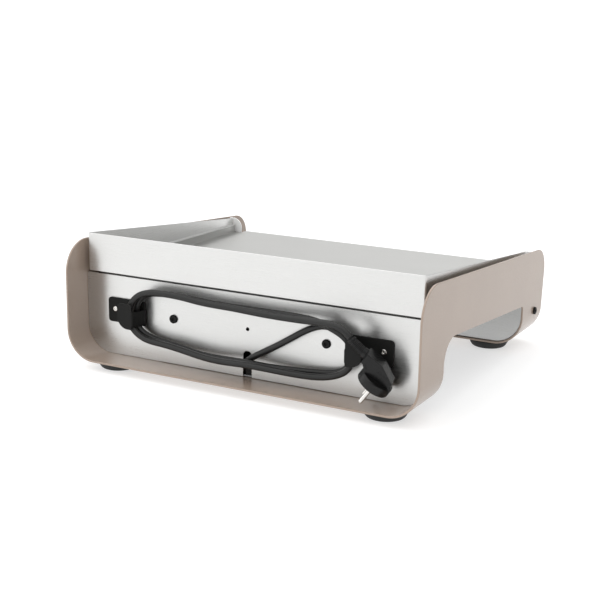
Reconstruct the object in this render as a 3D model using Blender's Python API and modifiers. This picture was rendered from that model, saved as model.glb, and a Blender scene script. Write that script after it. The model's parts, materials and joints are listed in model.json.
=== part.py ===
"""Electric tabletop hot plate in a bent-sheet cradle, with its mains lead wound on two rear brackets.

Metres, +Z up.  The front faces -Y and the rear panel faces +Y.  The origin is on the surface that the
feet stand on, below the middle of the cradle.
"""

import math

import bmesh
import bpy
import numpy as np
from mathutils import Matrix, Vector

# ---- driving dimensions ---------------------------------------------------------------------------
WIDTH = 0.440  # over the cradle's sides
DEPTH = 0.404  # cradle, rear edge to front edge
FOOT_HEIGHT = 0.010
SHEET = 0.0025  # cradle sheet
THIN = 0.0012  # casing sheet
GAP = 0.0003  # between touching pieces
BEND = 0.036  # outer radius of the cradle's lower bends
SIDE_TOP_REAR = 0.1494
SIDE_TOP_FRONT = 0.121

REAR_FACE = 0.165  # rear panel's outer face
PANEL_TOP = 0.1070  # a dark slit stays open below the splash guard
FRONT_WALL = -0.1225  # rear face of the control box's rear wall
FASCIA_FACE = -0.182  # front face of the control box
BOX_TOP = 0.0872

PLATE_TOP = 0.1055
PLATE_THICK = 0.0065
PLATE_HALF = 0.2078
PLATE_REAR = 0.1560
PLATE_FRONT = -0.1605
RIM_TOP = 0.1140

GUARD_HALF = 0.2100
GUARD_REAR = 0.1720
GUARD_FRONT = -0.1480
GUARD_LOW = 0.1110
GUARD_TOP_REAR = 0.1550
GUARD_TOP_FRONT = 0.1240

FOOT_X = 0.170
FOOT_Y = (-0.145, 0.170)
FOOT_RADIUS = 0.0245
SIDE_SCREW = (-0.165, 0.047)  # Y and Z
REAR_SCREW = (0.097, 0.066)  # X and Z
KEYHOLE_HALF = 0.0055
KEYHOLE_TOP = 0.0430

BOX_HALF = 0.118  # wiring box behind the rear panel
BOX_FRONT = 0.1402
BOX_LOW = 0.0136
BOX_CEILING = 0.0868
HOUSING_HALF = 0.2130  # shallow tray under the plate
HOUSING_FRONT = -0.1190
HOUSING_LOW = 0.0880
WIRE_HOLE = (0.075, 0.1480)  # X and Y
WIRE_HOLE_RADIUS = 0.006

KNOB_AT = (0.165, 0.052)  # X and Z
LAMP_AT = (0.136, 0.072)
TRAY_HALF = 0.112
TRAY_LOW = 0.024
TRAY_TOP = 0.056

BRACKET_MIDDLE = 0.0055  # the pair of cord brackets stands this far to +X
BRACKET_HALF = 0.1335  # from the middle to a lip's inner edge
BRACKET_Z = 0.0665
LIP_STANDOFF = 0.0203  # rear panel to the lip's inner face
BRACKET_SHEET = 0.0016
BRACKET_WEB = {-1: (-0.0110, 0.0030), 1: (-0.0110, 0.0055)}  # each web's Z span about BRACKET_Z

CORD_RADIUS = 0.0036
# The lead's route: X, distance behind the rear panel's face, Z.
CORD_ROUTE = [
    # out of the grip, through the keyhole and up to the -X bracket
    (0.0000, -0.0135, 0.0185), (-0.0002, -0.0060, 0.0255), (-0.0010, 0.0010, 0.0312),
    (-0.0058, 0.0057, 0.0360), (-0.0150, 0.0066, 0.0420), (-0.0270, 0.0062, 0.0490),
    (-0.0450, 0.0062, 0.0597), (-0.0620, 0.0062, 0.0706), (-0.0800, 0.0063, 0.0812),
    (-0.0980, 0.0065, 0.0868), (-0.1150, 0.0068, 0.0842), (-0.1274, 0.0068, 0.0765),
    # first turn, lower run and round the +X bracket
    (-0.1322, 0.0068, 0.0630), (-0.1285, 0.0068, 0.0493), (-0.1160, 0.0068, 0.0400),
    (-0.0970, 0.0075, 0.0362), (-0.0700, 0.0090, 0.0345), (-0.0350, 0.0115, 0.0335),
    (-0.0030, 0.0136, 0.0345), (0.0300, 0.0120, 0.0335), (0.0570, 0.0092, 0.0336),
    (0.0840, 0.0074, 0.0370), (0.1110, 0.0068, 0.0403), (0.1305, 0.0068, 0.0450),
    (0.1425, 0.0068, 0.0550), (0.1440, 0.0068, 0.0675), (0.1412, 0.0068, 0.0800),
    (0.1320, 0.0069, 0.0903), (0.1150, 0.0070, 0.0946),
    # upper run and second turn
    (0.0900, 0.0070, 0.0955), (0.0520, 0.0070, 0.0936), (0.0060, 0.0072, 0.0930),
    (-0.0300, 0.0085, 0.0935), (-0.0680, 0.0115, 0.0943), (-0.0930, 0.0143, 0.0930),
    (-0.1130, 0.0154, 0.0872), (-0.1292, 0.0154, 0.0770), (-0.1348, 0.0154, 0.0625),
    (-0.1307, 0.0154, 0.0480), (-0.1165, 0.0154, 0.0380),
    (-0.1000, 0.0162, 0.0338), (-0.0740, 0.0180, 0.0325), (-0.0370, 0.0206, 0.0338),
    (-0.0050, 0.0224, 0.0345), (0.0260, 0.0210, 0.0332), (0.0520, 0.0182, 0.0340),
    (0.0790, 0.0162, 0.0370), (0.1060, 0.0155, 0.0395), (0.1260, 0.0154, 0.0420),
    (0.1405, 0.0154, 0.0500), (0.1478, 0.0154, 0.0625), (0.1465, 0.0154, 0.0765),
    (0.1375, 0.0154, 0.0890), (0.1220, 0.0154, 0.0962),
    # last run, over the -X lip to the plug
    (0.0990, 0.0156, 0.0980), (0.0780, 0.0156, 0.0973), (0.0520, 0.0158, 0.0950),
    (0.0100, 0.0165, 0.0940), (-0.0240, 0.0182, 0.0932), (-0.0600, 0.0207, 0.0935),
    (-0.0870, 0.0236, 0.0948), (-0.1040, 0.0265, 0.0962), (-0.1190, 0.0288, 0.0960),
    (-0.1310, 0.0296, 0.0925),
]
CORD_SEGMENTS = 78

# The plug: the middle of its pin face, the way its pins point and the way from the lead into it.
PLUG_AT = Vector((-0.1611, 0.1865, 0.0364))
PLUG_PIN_WAY = Vector((0.577, 0.043, -0.814)).normalized()
PLUG_LEAD_WAY = Vector((-0.782, -0.255, -0.567)).normalized()
PLUG_FACE_RADIUS = 0.0185
PLUG_INLET = (-0.0245, 0.0246)  # along the lead's way, and above the pin face
PIN_RADIUS = 0.0024
PIN_LENGTH = 0.019
PIN_SPACING = 0.019
RELIEF_LENGTH = 0.022
RELIEF_START_WAY = Vector((-0.673, 0.0, -0.739)).normalized()

COLOURS = {
    # name: colour, roughness, metallic
    "taupe_paint": ((0.47, 0.40, 0.35), 0.45, 0.0),
    "brushed_steel": ((0.62, 0.62, 0.60), 0.35, 1.0),
    "plate_steel": ((0.50, 0.50, 0.49), 0.40, 1.0),
    "zinc_steel": ((0.45, 0.46, 0.47), 0.50, 1.0),
    "black_metal": ((0.03, 0.03, 0.03), 0.55, 0.0),
    "black_rubber": ((0.02, 0.02, 0.02), 0.80, 0.0),
    "cord_rubber": ((0.05, 0.05, 0.05), 0.55, 0.0),
    "black_plastic": ((0.03, 0.03, 0.03), 0.40, 0.0),
    "white_plastic": ((0.75, 0.74, 0.70), 0.50, 0.0),
    "red_lens": ((0.60, 0.05, 0.03), 0.20, 0.0),
    "nickel": ((0.75, 0.73, 0.69), 0.20, 1.0),
    "mineral_board": ((0.55, 0.52, 0.45), 0.90, 0.0),
}


# ---- tools ----------------------------------------------------------------------------------------
def clear_scene():
    for obj in list(bpy.data.objects):
        bpy.data.objects.remove(obj, do_unlink=True)


def new_collection(name):
    collection = bpy.data.collections.new(name)
    bpy.context.scene.collection.children.link(collection)
    return collection


clear_scene()
PARTS = new_collection("hot_plate_heater")
CUTTERS = new_collection("cutters")


def painted(obj, colour):
    """Gives obj a Principled material of its own in one of the object's colours."""
    base, roughness, metallic = COLOURS[colour]
    material = bpy.data.materials.new(f"{obj.name}_{colour}")
    material.use_nodes = True
    shader = material.node_tree.nodes["Principled BSDF"]
    shader.inputs["Base Color"].default_value = (*base, 1.0)
    shader.inputs["Roughness"].default_value = roughness
    shader.inputs["Metallic"].default_value = metallic
    obj.data.materials.clear()
    obj.data.materials.append(material)
    return obj


def from_bmesh(name, bm, collection=PARTS):
    mesh = bpy.data.meshes.new(name)
    bm.to_mesh(mesh)
    bm.free()
    obj = bpy.data.objects.new(name, mesh)
    collection.objects.link(obj)
    return obj


def as_mesh(curve_object, collection):
    """Replaces a curve object by its mesh, with the caps welded on."""
    bpy.context.view_layer.update()
    evaluated = curve_object.evaluated_get(bpy.context.evaluated_depsgraph_get())
    mesh = bpy.data.meshes.new_from_object(evaluated)
    bm = bmesh.new()
    bm.from_mesh(mesh)
    bmesh.ops.remove_doubles(bm, verts=bm.verts, dist=1e-6)
    bmesh.ops.recalc_face_normals(bm, faces=bm.faces)
    bm.to_mesh(mesh)
    bm.free()
    name = curve_object.name
    place = curve_object.matrix_world.copy()
    bpy.data.objects.remove(curve_object, do_unlink=True)
    obj = bpy.data.objects.new(name, mesh)
    obj.matrix_world = place
    collection.objects.link(obj)
    return obj


def arc(centre, radius, start, end, steps):
    """Points of an arc, its angles in degrees."""
    angles = [math.radians(start + (end - start) * i / steps) for i in range(steps + 1)]
    return [(centre[0] + radius * math.cos(a), centre[1] + radius * math.sin(a)) for a in angles]


def circle(centre, radius, steps=16):
    return arc(centre, radius, 0, 360, steps)[:-1]


def rounded(corners, steps=6):
    """A closed outline through corners (a, b, radius), each one rounded by a tangent arc."""
    outline = []
    for i, (a, b, radius) in enumerate(corners):
        here = Vector((a, b))
        if radius == 0:
            outline.append((a, b))
            continue
        before = (Vector(corners[i - 1][:2]) - here).normalized()
        after = (Vector(corners[(i + 1) % len(corners)][:2]) - here).normalized()
        half = before.angle(after) / 2
        centre = here + (before + after).normalized() * radius / math.sin(half)
        first = here + before * radius / math.tan(half) - centre
        last = here + after * radius / math.tan(half) - centre
        swing = first.angle_signed(last)
        for step in range(steps + 1):
            # angle_signed is positive clockwise
            point = centre + Matrix.Rotation(-swing * step / steps, 2) @ first
            outline.append((point.x, point.y))
    return outline


# Rotations that lay a flat outline's first and second axes along two of the object's axes.
LAY_XY = Matrix.Identity(4)
LAY_XZ = Matrix(((1, 0, 0, 0), (0, 0, -1, 0), (0, 1, 0, 0), (0, 0, 0, 1)))
LAY_YZ = Matrix(((0, 0, 1, 0), (1, 0, 0, 0), (0, 1, 0, 0), (0, 0, 0, 1)))


def slab(name, outlines, thickness, place, collection=PARTS):
    """A flat piece: the first outline with the others cut out, thickness centred on its plane."""
    curve = bpy.data.curves.new(name, "CURVE")
    curve.dimensions = "2D"
    curve.fill_mode = "BOTH"
    curve.extrude = thickness / 2
    for outline in outlines:
        spline = curve.splines.new("POLY")
        spline.points.add(len(outline) - 1)
        for point, (a, b) in zip(spline.points, outline):
            point.co = (a, b, 0, 1)
        spline.use_cyclic_u = True
    obj = bpy.data.objects.new(name, curve)
    obj.matrix_world = place
    collection.objects.link(obj)
    return as_mesh(obj, collection)


def slab_xz(name, outlines, low_y, high_y, collection=PARTS):
    place = Matrix.Translation((0, (low_y + high_y) / 2, 0)) @ LAY_XZ
    return slab(name, outlines, high_y - low_y, place, collection)


def slab_yz(name, outlines, low_x, high_x, collection=PARTS):
    place = Matrix.Translation(((low_x + high_x) / 2, 0, 0)) @ LAY_YZ
    return slab(name, outlines, high_x - low_x, place, collection)


def slab_xy(name, outlines, low_z, high_z, collection=PARTS):
    place = Matrix.Translation((0, 0, (low_z + high_z) / 2)) @ LAY_XY
    return slab(name, outlines, high_z - low_z, place, collection)


def block(name, low, high, collection=PARTS):
    bm = bmesh.new()
    bmesh.ops.create_cube(bm, size=1.0)
    size = Vector(high) - Vector(low)
    middle = (Vector(high) + Vector(low)) / 2
    bmesh.ops.scale(bm, vec=size, verts=bm.verts)
    bmesh.ops.translate(bm, vec=middle, verts=bm.verts)
    return from_bmesh(name, bm, collection)


def rod(name, start, end, radius, sides=16, collection=PARTS):
    """A straight round (or, with few sides, polygonal) bar between two points."""
    start, end = Vector(start), Vector(end)
    bm = bmesh.new()
    length = (end - start).length
    bmesh.ops.create_cone(
        bm, cap_ends=True, segments=sides, radius1=radius, radius2=radius, depth=length
    )
    obj = from_bmesh(name, bm, collection)
    turn = (end - start).to_track_quat("Z", "Y").to_matrix().to_4x4()
    obj.matrix_world = Matrix.Translation((start + end) / 2) @ turn
    return obj


def turned(name, profile, place, steps=20, collection=PARTS):
    """A turned piece; profile is (radius, height), down the outside; a ring's profile is closed."""
    bm = bmesh.new()
    points = [bm.verts.new((radius, 0, height)) for radius, height in profile]
    ring = all(radius > 0 for radius, _ in profile)
    for first, second in zip(points, points[1:] + points[:1] if ring else points[1:]):
        bm.edges.new((first, second))
    obj = from_bmesh(name, bm, collection)
    screw = obj.modifiers.new("turn", "SCREW")
    screw.steps = steps
    screw.render_steps = steps
    screw.use_merge_vertices = True
    screw.merge_threshold = 0.00002
    obj.matrix_world = place
    return obj


def facing(at, way):
    """A place at a point whose +Z looks along way."""
    return Matrix.Translation(at) @ Vector(way).to_track_quat("Z", "Y").to_matrix().to_4x4()


def combine(obj, others, operation):
    for other in others:
        other.hide_render = True
        other.display_type = "WIRE"
        modifier = obj.modifiers.new(operation.lower(), "BOOLEAN")
        modifier.operation = operation
        modifier.solver = "EXACT"
        modifier.object = other
    return obj


def shell(name, outline, low_y, high_y, thickness):
    """An open sheet along an XZ line, from low_y to high_y, thickened to its left-hand side."""
    bm = bmesh.new()
    points = [bm.verts.new((x, low_y, z)) for x, z in outline]
    edges = [bm.edges.new(pair) for pair in zip(points, points[1:])]
    swept = bmesh.ops.extrude_edge_only(bm, edges=edges)
    moved = [item for item in swept["geom"] if isinstance(item, bmesh.types.BMVert)]
    bmesh.ops.translate(bm, vec=(0, high_y - low_y, 0), verts=moved)
    obj = from_bmesh(name, bm)
    solidify = obj.modifiers.new("sheet", "SOLIDIFY")
    solidify.thickness = thickness
    solidify.offset = 1
    solidify.use_even_offset = True
    return obj


def smooth_line(route, count):
    """Points along a natural cubic spline through the route, closer together in the bends."""
    knots = np.array([tuple(point) for point in route], dtype=float)
    chords = np.linalg.norm(np.diff(knots, axis=0), axis=1)
    at = np.concatenate([[0.0], np.cumsum(chords)])
    n = len(knots)
    system = np.eye(n)
    right = np.zeros_like(knots)
    for i in range(1, n - 1):
        system[i, i - 1 : i + 2] = chords[i - 1], 2 * (chords[i - 1] + chords[i]), chords[i]
        rise = (knots[i + 1] - knots[i]) / chords[i] - (knots[i] - knots[i - 1]) / chords[i - 1]
        right[i] = 6 * rise
    second = np.linalg.solve(system, right)
    fine = np.linspace(0, at[-1], 40 * n)
    k = np.clip(np.searchsorted(at, fine, side="right") - 1, 0, n - 2)
    span = chords[k][:, None]
    a = (at[k + 1] - fine)[:, None] / span
    b = 1 - a
    bow = ((a**3 - a) * second[k] + (b**3 - b) * second[k + 1]) * span**2 / 6
    line = a * knots[k] + b * knots[k + 1] + bow
    curvature = np.linalg.norm(a * second[k] + b * second[k + 1], axis=1)
    steps = np.linalg.norm(np.diff(line, axis=0), axis=1)
    straight_step, bend_step = 0.045, 0.38
    weight = steps * (1 / straight_step + (curvature[1:] + curvature[:-1]) / (2 * bend_step))
    done = np.concatenate([[0.0], np.cumsum(weight)])
    wanted = np.linspace(0, done[-1], count + 1)
    return np.stack([np.interp(wanted, done, line[:, c]) for c in range(3)], axis=1)


def tube(name, points, radius, radii=None):
    curve = bpy.data.curves.new(name, "CURVE")
    curve.dimensions = "3D"
    curve.bevel_depth = radius
    curve.bevel_resolution = 2
    curve.use_fill_caps = True
    curve.twist_mode = "MINIMUM"
    spline = curve.splines.new("POLY")
    spline.points.add(len(points) - 1)
    for i, place in enumerate(points):
        spline.points[i].co = (*place, 1)
        if radii is not None:
            spline.points[i].radius = radii[i] / radius
    obj = bpy.data.objects.new(name, curve)
    PARTS.objects.link(obj)
    return obj


SIDES = {-1: "left", 1: "right"}


# ---- frame and casing -----------------------------------------------------------------------------
def top_edge(y):
    """Height of the cradle side's top edge."""
    rise = (SIDE_TOP_REAR - SIDE_TOP_FRONT) / DEPTH
    return SIDE_TOP_FRONT + rise * (y + DEPTH / 2)


def arch_edge(y):
    """Height of the side opening's upper edge."""
    return 0.0821 + 0.079 * (y - 0.1376)


def make_cradle():
    half = WIDTH / 2
    low = FOOT_HEIGHT
    line = [(half, 0.17)] + arc((half - BEND, low + BEND), BEND, 0, -90, 10)
    line += arc((BEND - half, low + BEND), BEND, -90, -180, 10) + [(-half, 0.17)]
    cradle = shell("cradle", line, -DEPTH / 2 - 0.005, DEPTH / 2 + 0.005, SHEET)
    rear, front = DEPTH / 2, -DEPTH / 2
    side = rounded(
        [
            (rear, 0.0, 0),
            (rear, top_edge(rear), 0.036),
            (front - 0.0019, top_edge(front), 0.029),
            (front + 0.006, 0.030, 0),
            (front + 0.006, 0.0, 0),
            (-0.120, 0.0, 0),
            (-0.120, arch_edge(-0.120), 0.0045),
            (0.1376, arch_edge(0.1376), 0.027),
            (0.1376, 0.0, 0),
        ],
        steps=8,
    )
    outline = slab_yz("cradle_outline", [side], -0.25, 0.25, CUTTERS)
    combine(cradle, [outline], "INTERSECT")
    holes = [rod("side_screw_hole", (-0.25, *SIDE_SCREW), (0.25, *SIDE_SCREW), 0.0028, 12, CUTTERS)]
    for x in (-FOOT_X, FOOT_X):
        for y in FOOT_Y:
            top = FOOT_HEIGHT + 0.0017  # blind, so that the sheet's upper face stays whole
            holes.append(rod("foot_hole", (x, y, 0.0), (x, y, top), 0.0026, 12, CUTTERS))
    combine(cradle, holes, "DIFFERENCE")
    painted(cradle, "taupe_paint")


def nested_outline(half, top, corner):
    """An XZ outline that fills the cradle's section from its floor to top."""
    low = FOOT_HEIGHT + SHEET + 0.0005
    bend = BEND - SHEET - 0.0005
    return rounded(
        [(-half, top, corner), (-half, low, bend), (half, low, bend), (half, top, corner)], steps=8
    )


def bracket_screw_places():
    return [(BRACKET_MIDDLE + side * (BRACKET_HALF + 0.0370), BRACKET_Z + 0.0015) for side in (-1, 1)]


def make_rear_panel():
    half = WIDTH / 2 - SHEET - 0.0005
    low = FOOT_HEIGHT + SHEET + 0.0005
    bend = BEND - SHEET - 0.0005
    keyhole = [(KEYHOLE_HALF, low)]
    keyhole += arc((0, KEYHOLE_TOP - KEYHOLE_HALF), KEYHOLE_HALF, 0, 180, 10)
    keyhole += [(-KEYHOLE_HALF, low)]
    corners = [(half, PANEL_TOP, 0.002), (-half, PANEL_TOP, 0.002), (-half, low, bend)]
    corners += [(x, z, 0) for x, z in reversed(keyhole)] + [(half, low, bend)]
    outline = rounded(corners, steps=8)
    holes = [circle((0, 0.068), 0.002, 10)]
    holes += [circle((side * REAR_SCREW[0], REAR_SCREW[1]), 0.0026, 12) for side in (-1, 1)]
    holes += [circle(place, 0.0021, 12) for place in bracket_screw_places()]
    panel = slab_xz("rear_panel", [outline] + holes, REAR_FACE - THIN, REAR_FACE)
    painted(panel, "brushed_steel")


def wire_hole(name):
    """The cutter for the hole that leads the wires from the wiring box up into the housing."""
    low, high = (*WIRE_HOLE, BOX_CEILING - 0.005), (*WIRE_HOLE, HOUSING_LOW + 0.005)
    return rod(name, low, high, WIRE_HOLE_RADIUS, 12, CUTTERS)


def make_rear_box():
    """The wiring box behind the rear panel, open towards it."""
    rear = REAR_FACE - THIN - GAP
    outer = block("rear_box", (-BOX_HALF, BOX_FRONT, BOX_LOW), (BOX_HALF, rear, BOX_CEILING))
    inner = block(
        "rear_box_inside", (THIN - BOX_HALF, BOX_FRONT + THIN, BOX_LOW + THIN),
        (BOX_HALF - THIN, rear + 0.01, BOX_CEILING - THIN), CUTTERS,
    )
    combine(outer, [inner, wire_hole("wire_hole")], "DIFFERENCE")
    painted(outer, "zinc_steel")


def make_rear_fasteners():
    x, z = REAR_SCREW
    front = BOX_FRONT + THIN + GAP
    rear = REAR_FACE - THIN - GAP
    for side, word in SIDES.items():
        post = rod(f"rear_standoff_{word}", (side * x, front, z), (side * x, rear, z), 0.0050, 6)
        bore = rod("post_bore", (side * x, rear - 0.013, z), (side * x, 0.2, z), 0.0024, 10, CUTTERS)
        painted(combine(post, [bore], "DIFFERENCE"), "zinc_steel")
        profile = [(0, 0.0008), (0.0018, 0.0008), (0.0018, 0.0022), (0.0040, 0.0022), (0.0050, 0.0012)]
        profile += [(0.0050, 0.0003), (0.0020, 0.0003), (0.0020, -0.0120), (0, -0.0120)]
        place = facing((side * x, REAR_FACE, z), (0, 1, 0))
        painted(turned(f"rear_screw_{word}", profile, place, 12), "black_metal")


def make_housing():
    """The shallow tray under the plate that holds the heating element."""
    low = (-HOUSING_HALF, HOUSING_FRONT, HOUSING_LOW)
    high = (HOUSING_HALF, PLATE_REAR + 0.0008, PLATE_TOP - PLATE_THICK - GAP)
    outer = block("element_housing", low, high)
    inner_low = tuple(c + THIN for c in low)
    inner = block("housing_inside", inner_low, (high[0] - THIN, high[1] - THIN, 0.12), CUTTERS)
    combine(outer, [inner, wire_hole("housing_wire_hole")], "DIFFERENCE")
    painted(outer, "zinc_steel")


def make_front_panel():
    outline = nested_outline(WIDTH / 2 - SHEET - 0.0005, BOX_TOP, 0.002)
    panel = slab_xz("control_box_rear_wall", [outline], FRONT_WALL - THIN, FRONT_WALL)
    painted(panel, "brushed_steel")


def make_fascia():
    """The control box: front, sloping top, end flanges and the upstanding rounded ears."""
    half = WIDTH / 2 - SHEET - 0.0008
    low = FOOT_HEIGHT + SHEET + 0.0005
    back = FRONT_WALL - THIN - GAP
    profile = [(back, 0), (back, BOX_TOP), (-0.1500, 0.0980), (-0.1540, 0.0980), (FASCIA_FACE, 0.0820)]
    profile += [(FASCIA_FACE, 0)]
    body = slab_yz("front_fascia", [profile], -half - 0.01, half + 0.01)
    section = nested_outline(half, 0.12, 0)
    bend_trim = slab_xz("fascia_section", [section], -0.25, 0, CUTTERS)
    combine(body, [bend_trim], "INTERSECT")
    inside = [(back + 0.01, -0.01), (back + 0.01, BOX_TOP - 0.004), (-0.1490, 0.0967), (-0.1536, 0.0967)]
    inside += [(FASCIA_FACE + THIN, 0.0812), (FASCIA_FACE + THIN, -0.01)]
    hollow = slab_yz("fascia_hollow", [inside], -half + 0.0015, half - 0.0015, CUTTERS)
    open_top = block("fascia_open_top", (-0.21, -0.1490, 0.06), (0.21, -0.10, 0.12), CUTTERS)
    tray = block(
        "tray_mouth", (-TRAY_HALF - 0.0015, -0.20, TRAY_LOW - 0.0015),
        (TRAY_HALF + 0.0015, -0.175, TRAY_TOP + 0.0015), CUTTERS,
    )
    juice = block("juice_slot", (-0.100, -0.176, 0.075), (0.100, -0.160, 0.12), CUTTERS)
    x, z = KNOB_AT
    shaft = rod("shaft_hole", (x, -0.20, z), (x, -0.17, z), 0.0045, 12, CUTTERS)
    x, z = LAMP_AT
    lamp = rod("lamp_hole", (x, -0.20, z), (x, -0.17, z), 0.0043, 12, CUTTERS)
    screws = rod("flange_hole", (-0.25, *SIDE_SCREW), (0.25, *SIDE_SCREW), 0.0026, 12, CUTTERS)
    ears = []
    for side in (-1, 1):
        inner, outer = side * 0.1970, side * (half - 0.0004)
        shape = rounded(
            [(inner, 0.0940, 0), (inner, 0.1240, 0.013), (outer, 0.1240, 0.002), (outer, 0.0940, 0)]
        )
        ears.append(slab_xz("ear", [shape], -0.1520, -0.1505, CUTTERS))
    combine(body, ears, "UNION")
    combine(body, [hollow, open_top, tray, juice, shaft, lamp, screws], "DIFFERENCE")
    painted(body, "brushed_steel")


def make_plate():
    """The cooking plate with its upturned rim on three sides and narrower front lip."""
    notch_y, notch_x = -0.1490, 0.1960
    outline = rounded(
        [
            (PLATE_HALF, PLATE_REAR, 0.004),
            (-PLATE_HALF, PLATE_REAR, 0.004),
            (-PLATE_HALF, notch_y, 0),
            (-notch_x, notch_y - 0.001, 0),
            (-notch_x, PLATE_FRONT, 0.003),
            (notch_x, PLATE_FRONT, 0.003),
            (notch_x, notch_y - 0.001, 0),
            (PLATE_HALF, notch_y, 0),
        ],
        steps=4,
    )
    plate = slab_xy("hot_plate", [outline], PLATE_TOP - PLATE_THICK, RIM_TOP)
    inner = PLATE_HALF - 0.0015
    well = rounded(
        [
            (inner, PLATE_REAR - 0.0015, 0.0025),
            (-inner, PLATE_REAR - 0.0015, 0.0025),
            (-inner, -0.25, 0),
            (inner, -0.25, 0),
        ],
        steps=4,
    )
    combine(plate, [slab_xy("plate_well", [well], PLATE_TOP, RIM_TOP + 0.01, CUTTERS)], "DIFFERENCE")
    painted(plate, "plate_steel")


def make_splash_guard():
    """Rear and side walls in one bent sheet, hung on the plate's rim by a ledge inside."""
    half, wall = GUARD_HALF, THIN

    def u_shape(outer, rear_outer, inner, rear_inner, corner, front):
        return rounded(
            [
                (outer, rear_outer, corner),
                (-outer, rear_outer, corner),
                (-outer, front, 0),
                (-inner, front, 0),
                (-inner, rear_inner, 0.001),
                (inner, rear_inner, 0.001),
                (inner, front, 0),
                (outer, front, 0),
            ],
            steps=4,
        )

    plan = u_shape(half, GUARD_REAR, half - wall, GUARD_REAR - wall, 0.0022, GUARD_FRONT)
    guard = slab_xy("splash_guard", [plan], GUARD_LOW, 0.165)
    mid = wall / 2
    ledge_plan = u_shape(
        half - mid, GUARD_REAR - mid, half - 0.0050, PLATE_REAR - 0.0025, 0.001, GUARD_FRONT + 0.001
    )
    ledge = slab_xy("guard_ledge", [ledge_plan], RIM_TOP + GAP, RIM_TOP + 0.0014, CUTTERS)
    combine(guard, [ledge], "UNION")
    top = rounded(
        [
            (-0.20, 0.10, 0),
            (0.20, 0.10, 0),
            (0.20, GUARD_TOP_REAR, 0),
            (GUARD_REAR - 0.006, GUARD_TOP_REAR, 0),
            (GUARD_FRONT + 0.002, GUARD_TOP_FRONT + 0.0002, 0),
            (-0.20, GUARD_TOP_FRONT, 0),
        ]
    )
    keep = slab_yz("guard_top_trim", [top], -0.25, 0.25, CUTTERS)
    combine(guard, [keep], "INTERSECT")
    painted(guard, "brushed_steel")


# ---- heating --------------------------------------------------------------------------------------
def make_heating():
    rows = (-0.075, -0.015, 0.045, 0.105)
    reach, bend, z = 0.135, 0.030, 0.0946
    points = [(0.165, -0.108, z), (0.165, -0.080, z), (0.160, -0.0755, z)]
    side = 1
    for i, y in enumerate(rows):
        points.append((side * reach, y, z))
        points.append((-side * reach, y, z))
        if i + 1 < len(rows):
            centre = (-side * reach, y + bend)
            swing = arc(centre, bend, -90, -90 - side * 180, 8)[1:-1]
            points += [(a, b, z) for a, b in swing]
        side = -side
    points += [(0.158, 0.100, z), (0.178, 0.085, z), (0.185, 0.060, z), (0.185, -0.108, z)]
    points = [point for i, point in enumerate(points) if i == 0 or point != points[i - 1]]
    element = tube("heating_element", points, 0.0031)
    painted(element, "zinc_steel")
    mat = block("insulation_mat", (-0.200, -0.112, 0.0895), (0.200, 0.140, 0.0912))
    painted(mat, "mineral_board")
    cutout = rod("thermal_cutout", (0.0, -0.045, 0.0915), (0.0, -0.045, 0.0984), 0.0090, 16)
    painted(cutout, "white_plastic")


def make_controls():
    x, z = KNOB_AT
    inner = FASCIA_FACE + THIN + GAP
    body = rod("thermostat", (x, inner, z), (x, inner + 0.022, z), 0.0170, 20)
    bore = rod("thermostat_bore", (x, -0.20, z), (x, inner + 0.010, z), 0.0038, 12, CUTTERS)
    combine(body, [bore], "DIFFERENCE")
    painted(body, "zinc_steel")
    shaft = rod("thermostat_shaft", (x, inner + 0.0095, z), (x, FASCIA_FACE - 0.0120, z), 0.0030, 12)
    painted(shaft, "nickel")
    profile = [(0, 0.0175), (0.0165, 0.0175), (0.0185, 0.0160), (0.0200, 0.0030), (0.0205, 0.0008)]
    profile += [(0.0033, 0.0008), (0.0033, 0.0124), (0, 0.0124)]
    knob = turned("thermostat_knob", profile, facing((x, FASCIA_FACE, z), (0, -1, 0)), 32)
    grip = block(
        "knob_grip", (x - 0.0022, FASCIA_FACE - 0.0190, z - 0.0170),
        (x + 0.0022, FASCIA_FACE - 0.0165, z + 0.0170), CUTTERS,
    )
    combine(knob, [grip], "UNION")
    painted(knob, "black_plastic")
    x, z = LAMP_AT
    profile = [(0, 0.0022), (0.0035, 0.0018), (0.0055, 0.0004), (0.0055, 0.0003), (0.0040, 0.0003)]
    profile += [(0.0040, -0.0140), (0, -0.0140)]
    lamp = turned("pilot_lamp", profile, facing((x, FASCIA_FACE, z), (0, -1, 0)), 16)
    painted(lamp, "red_lens")


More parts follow.
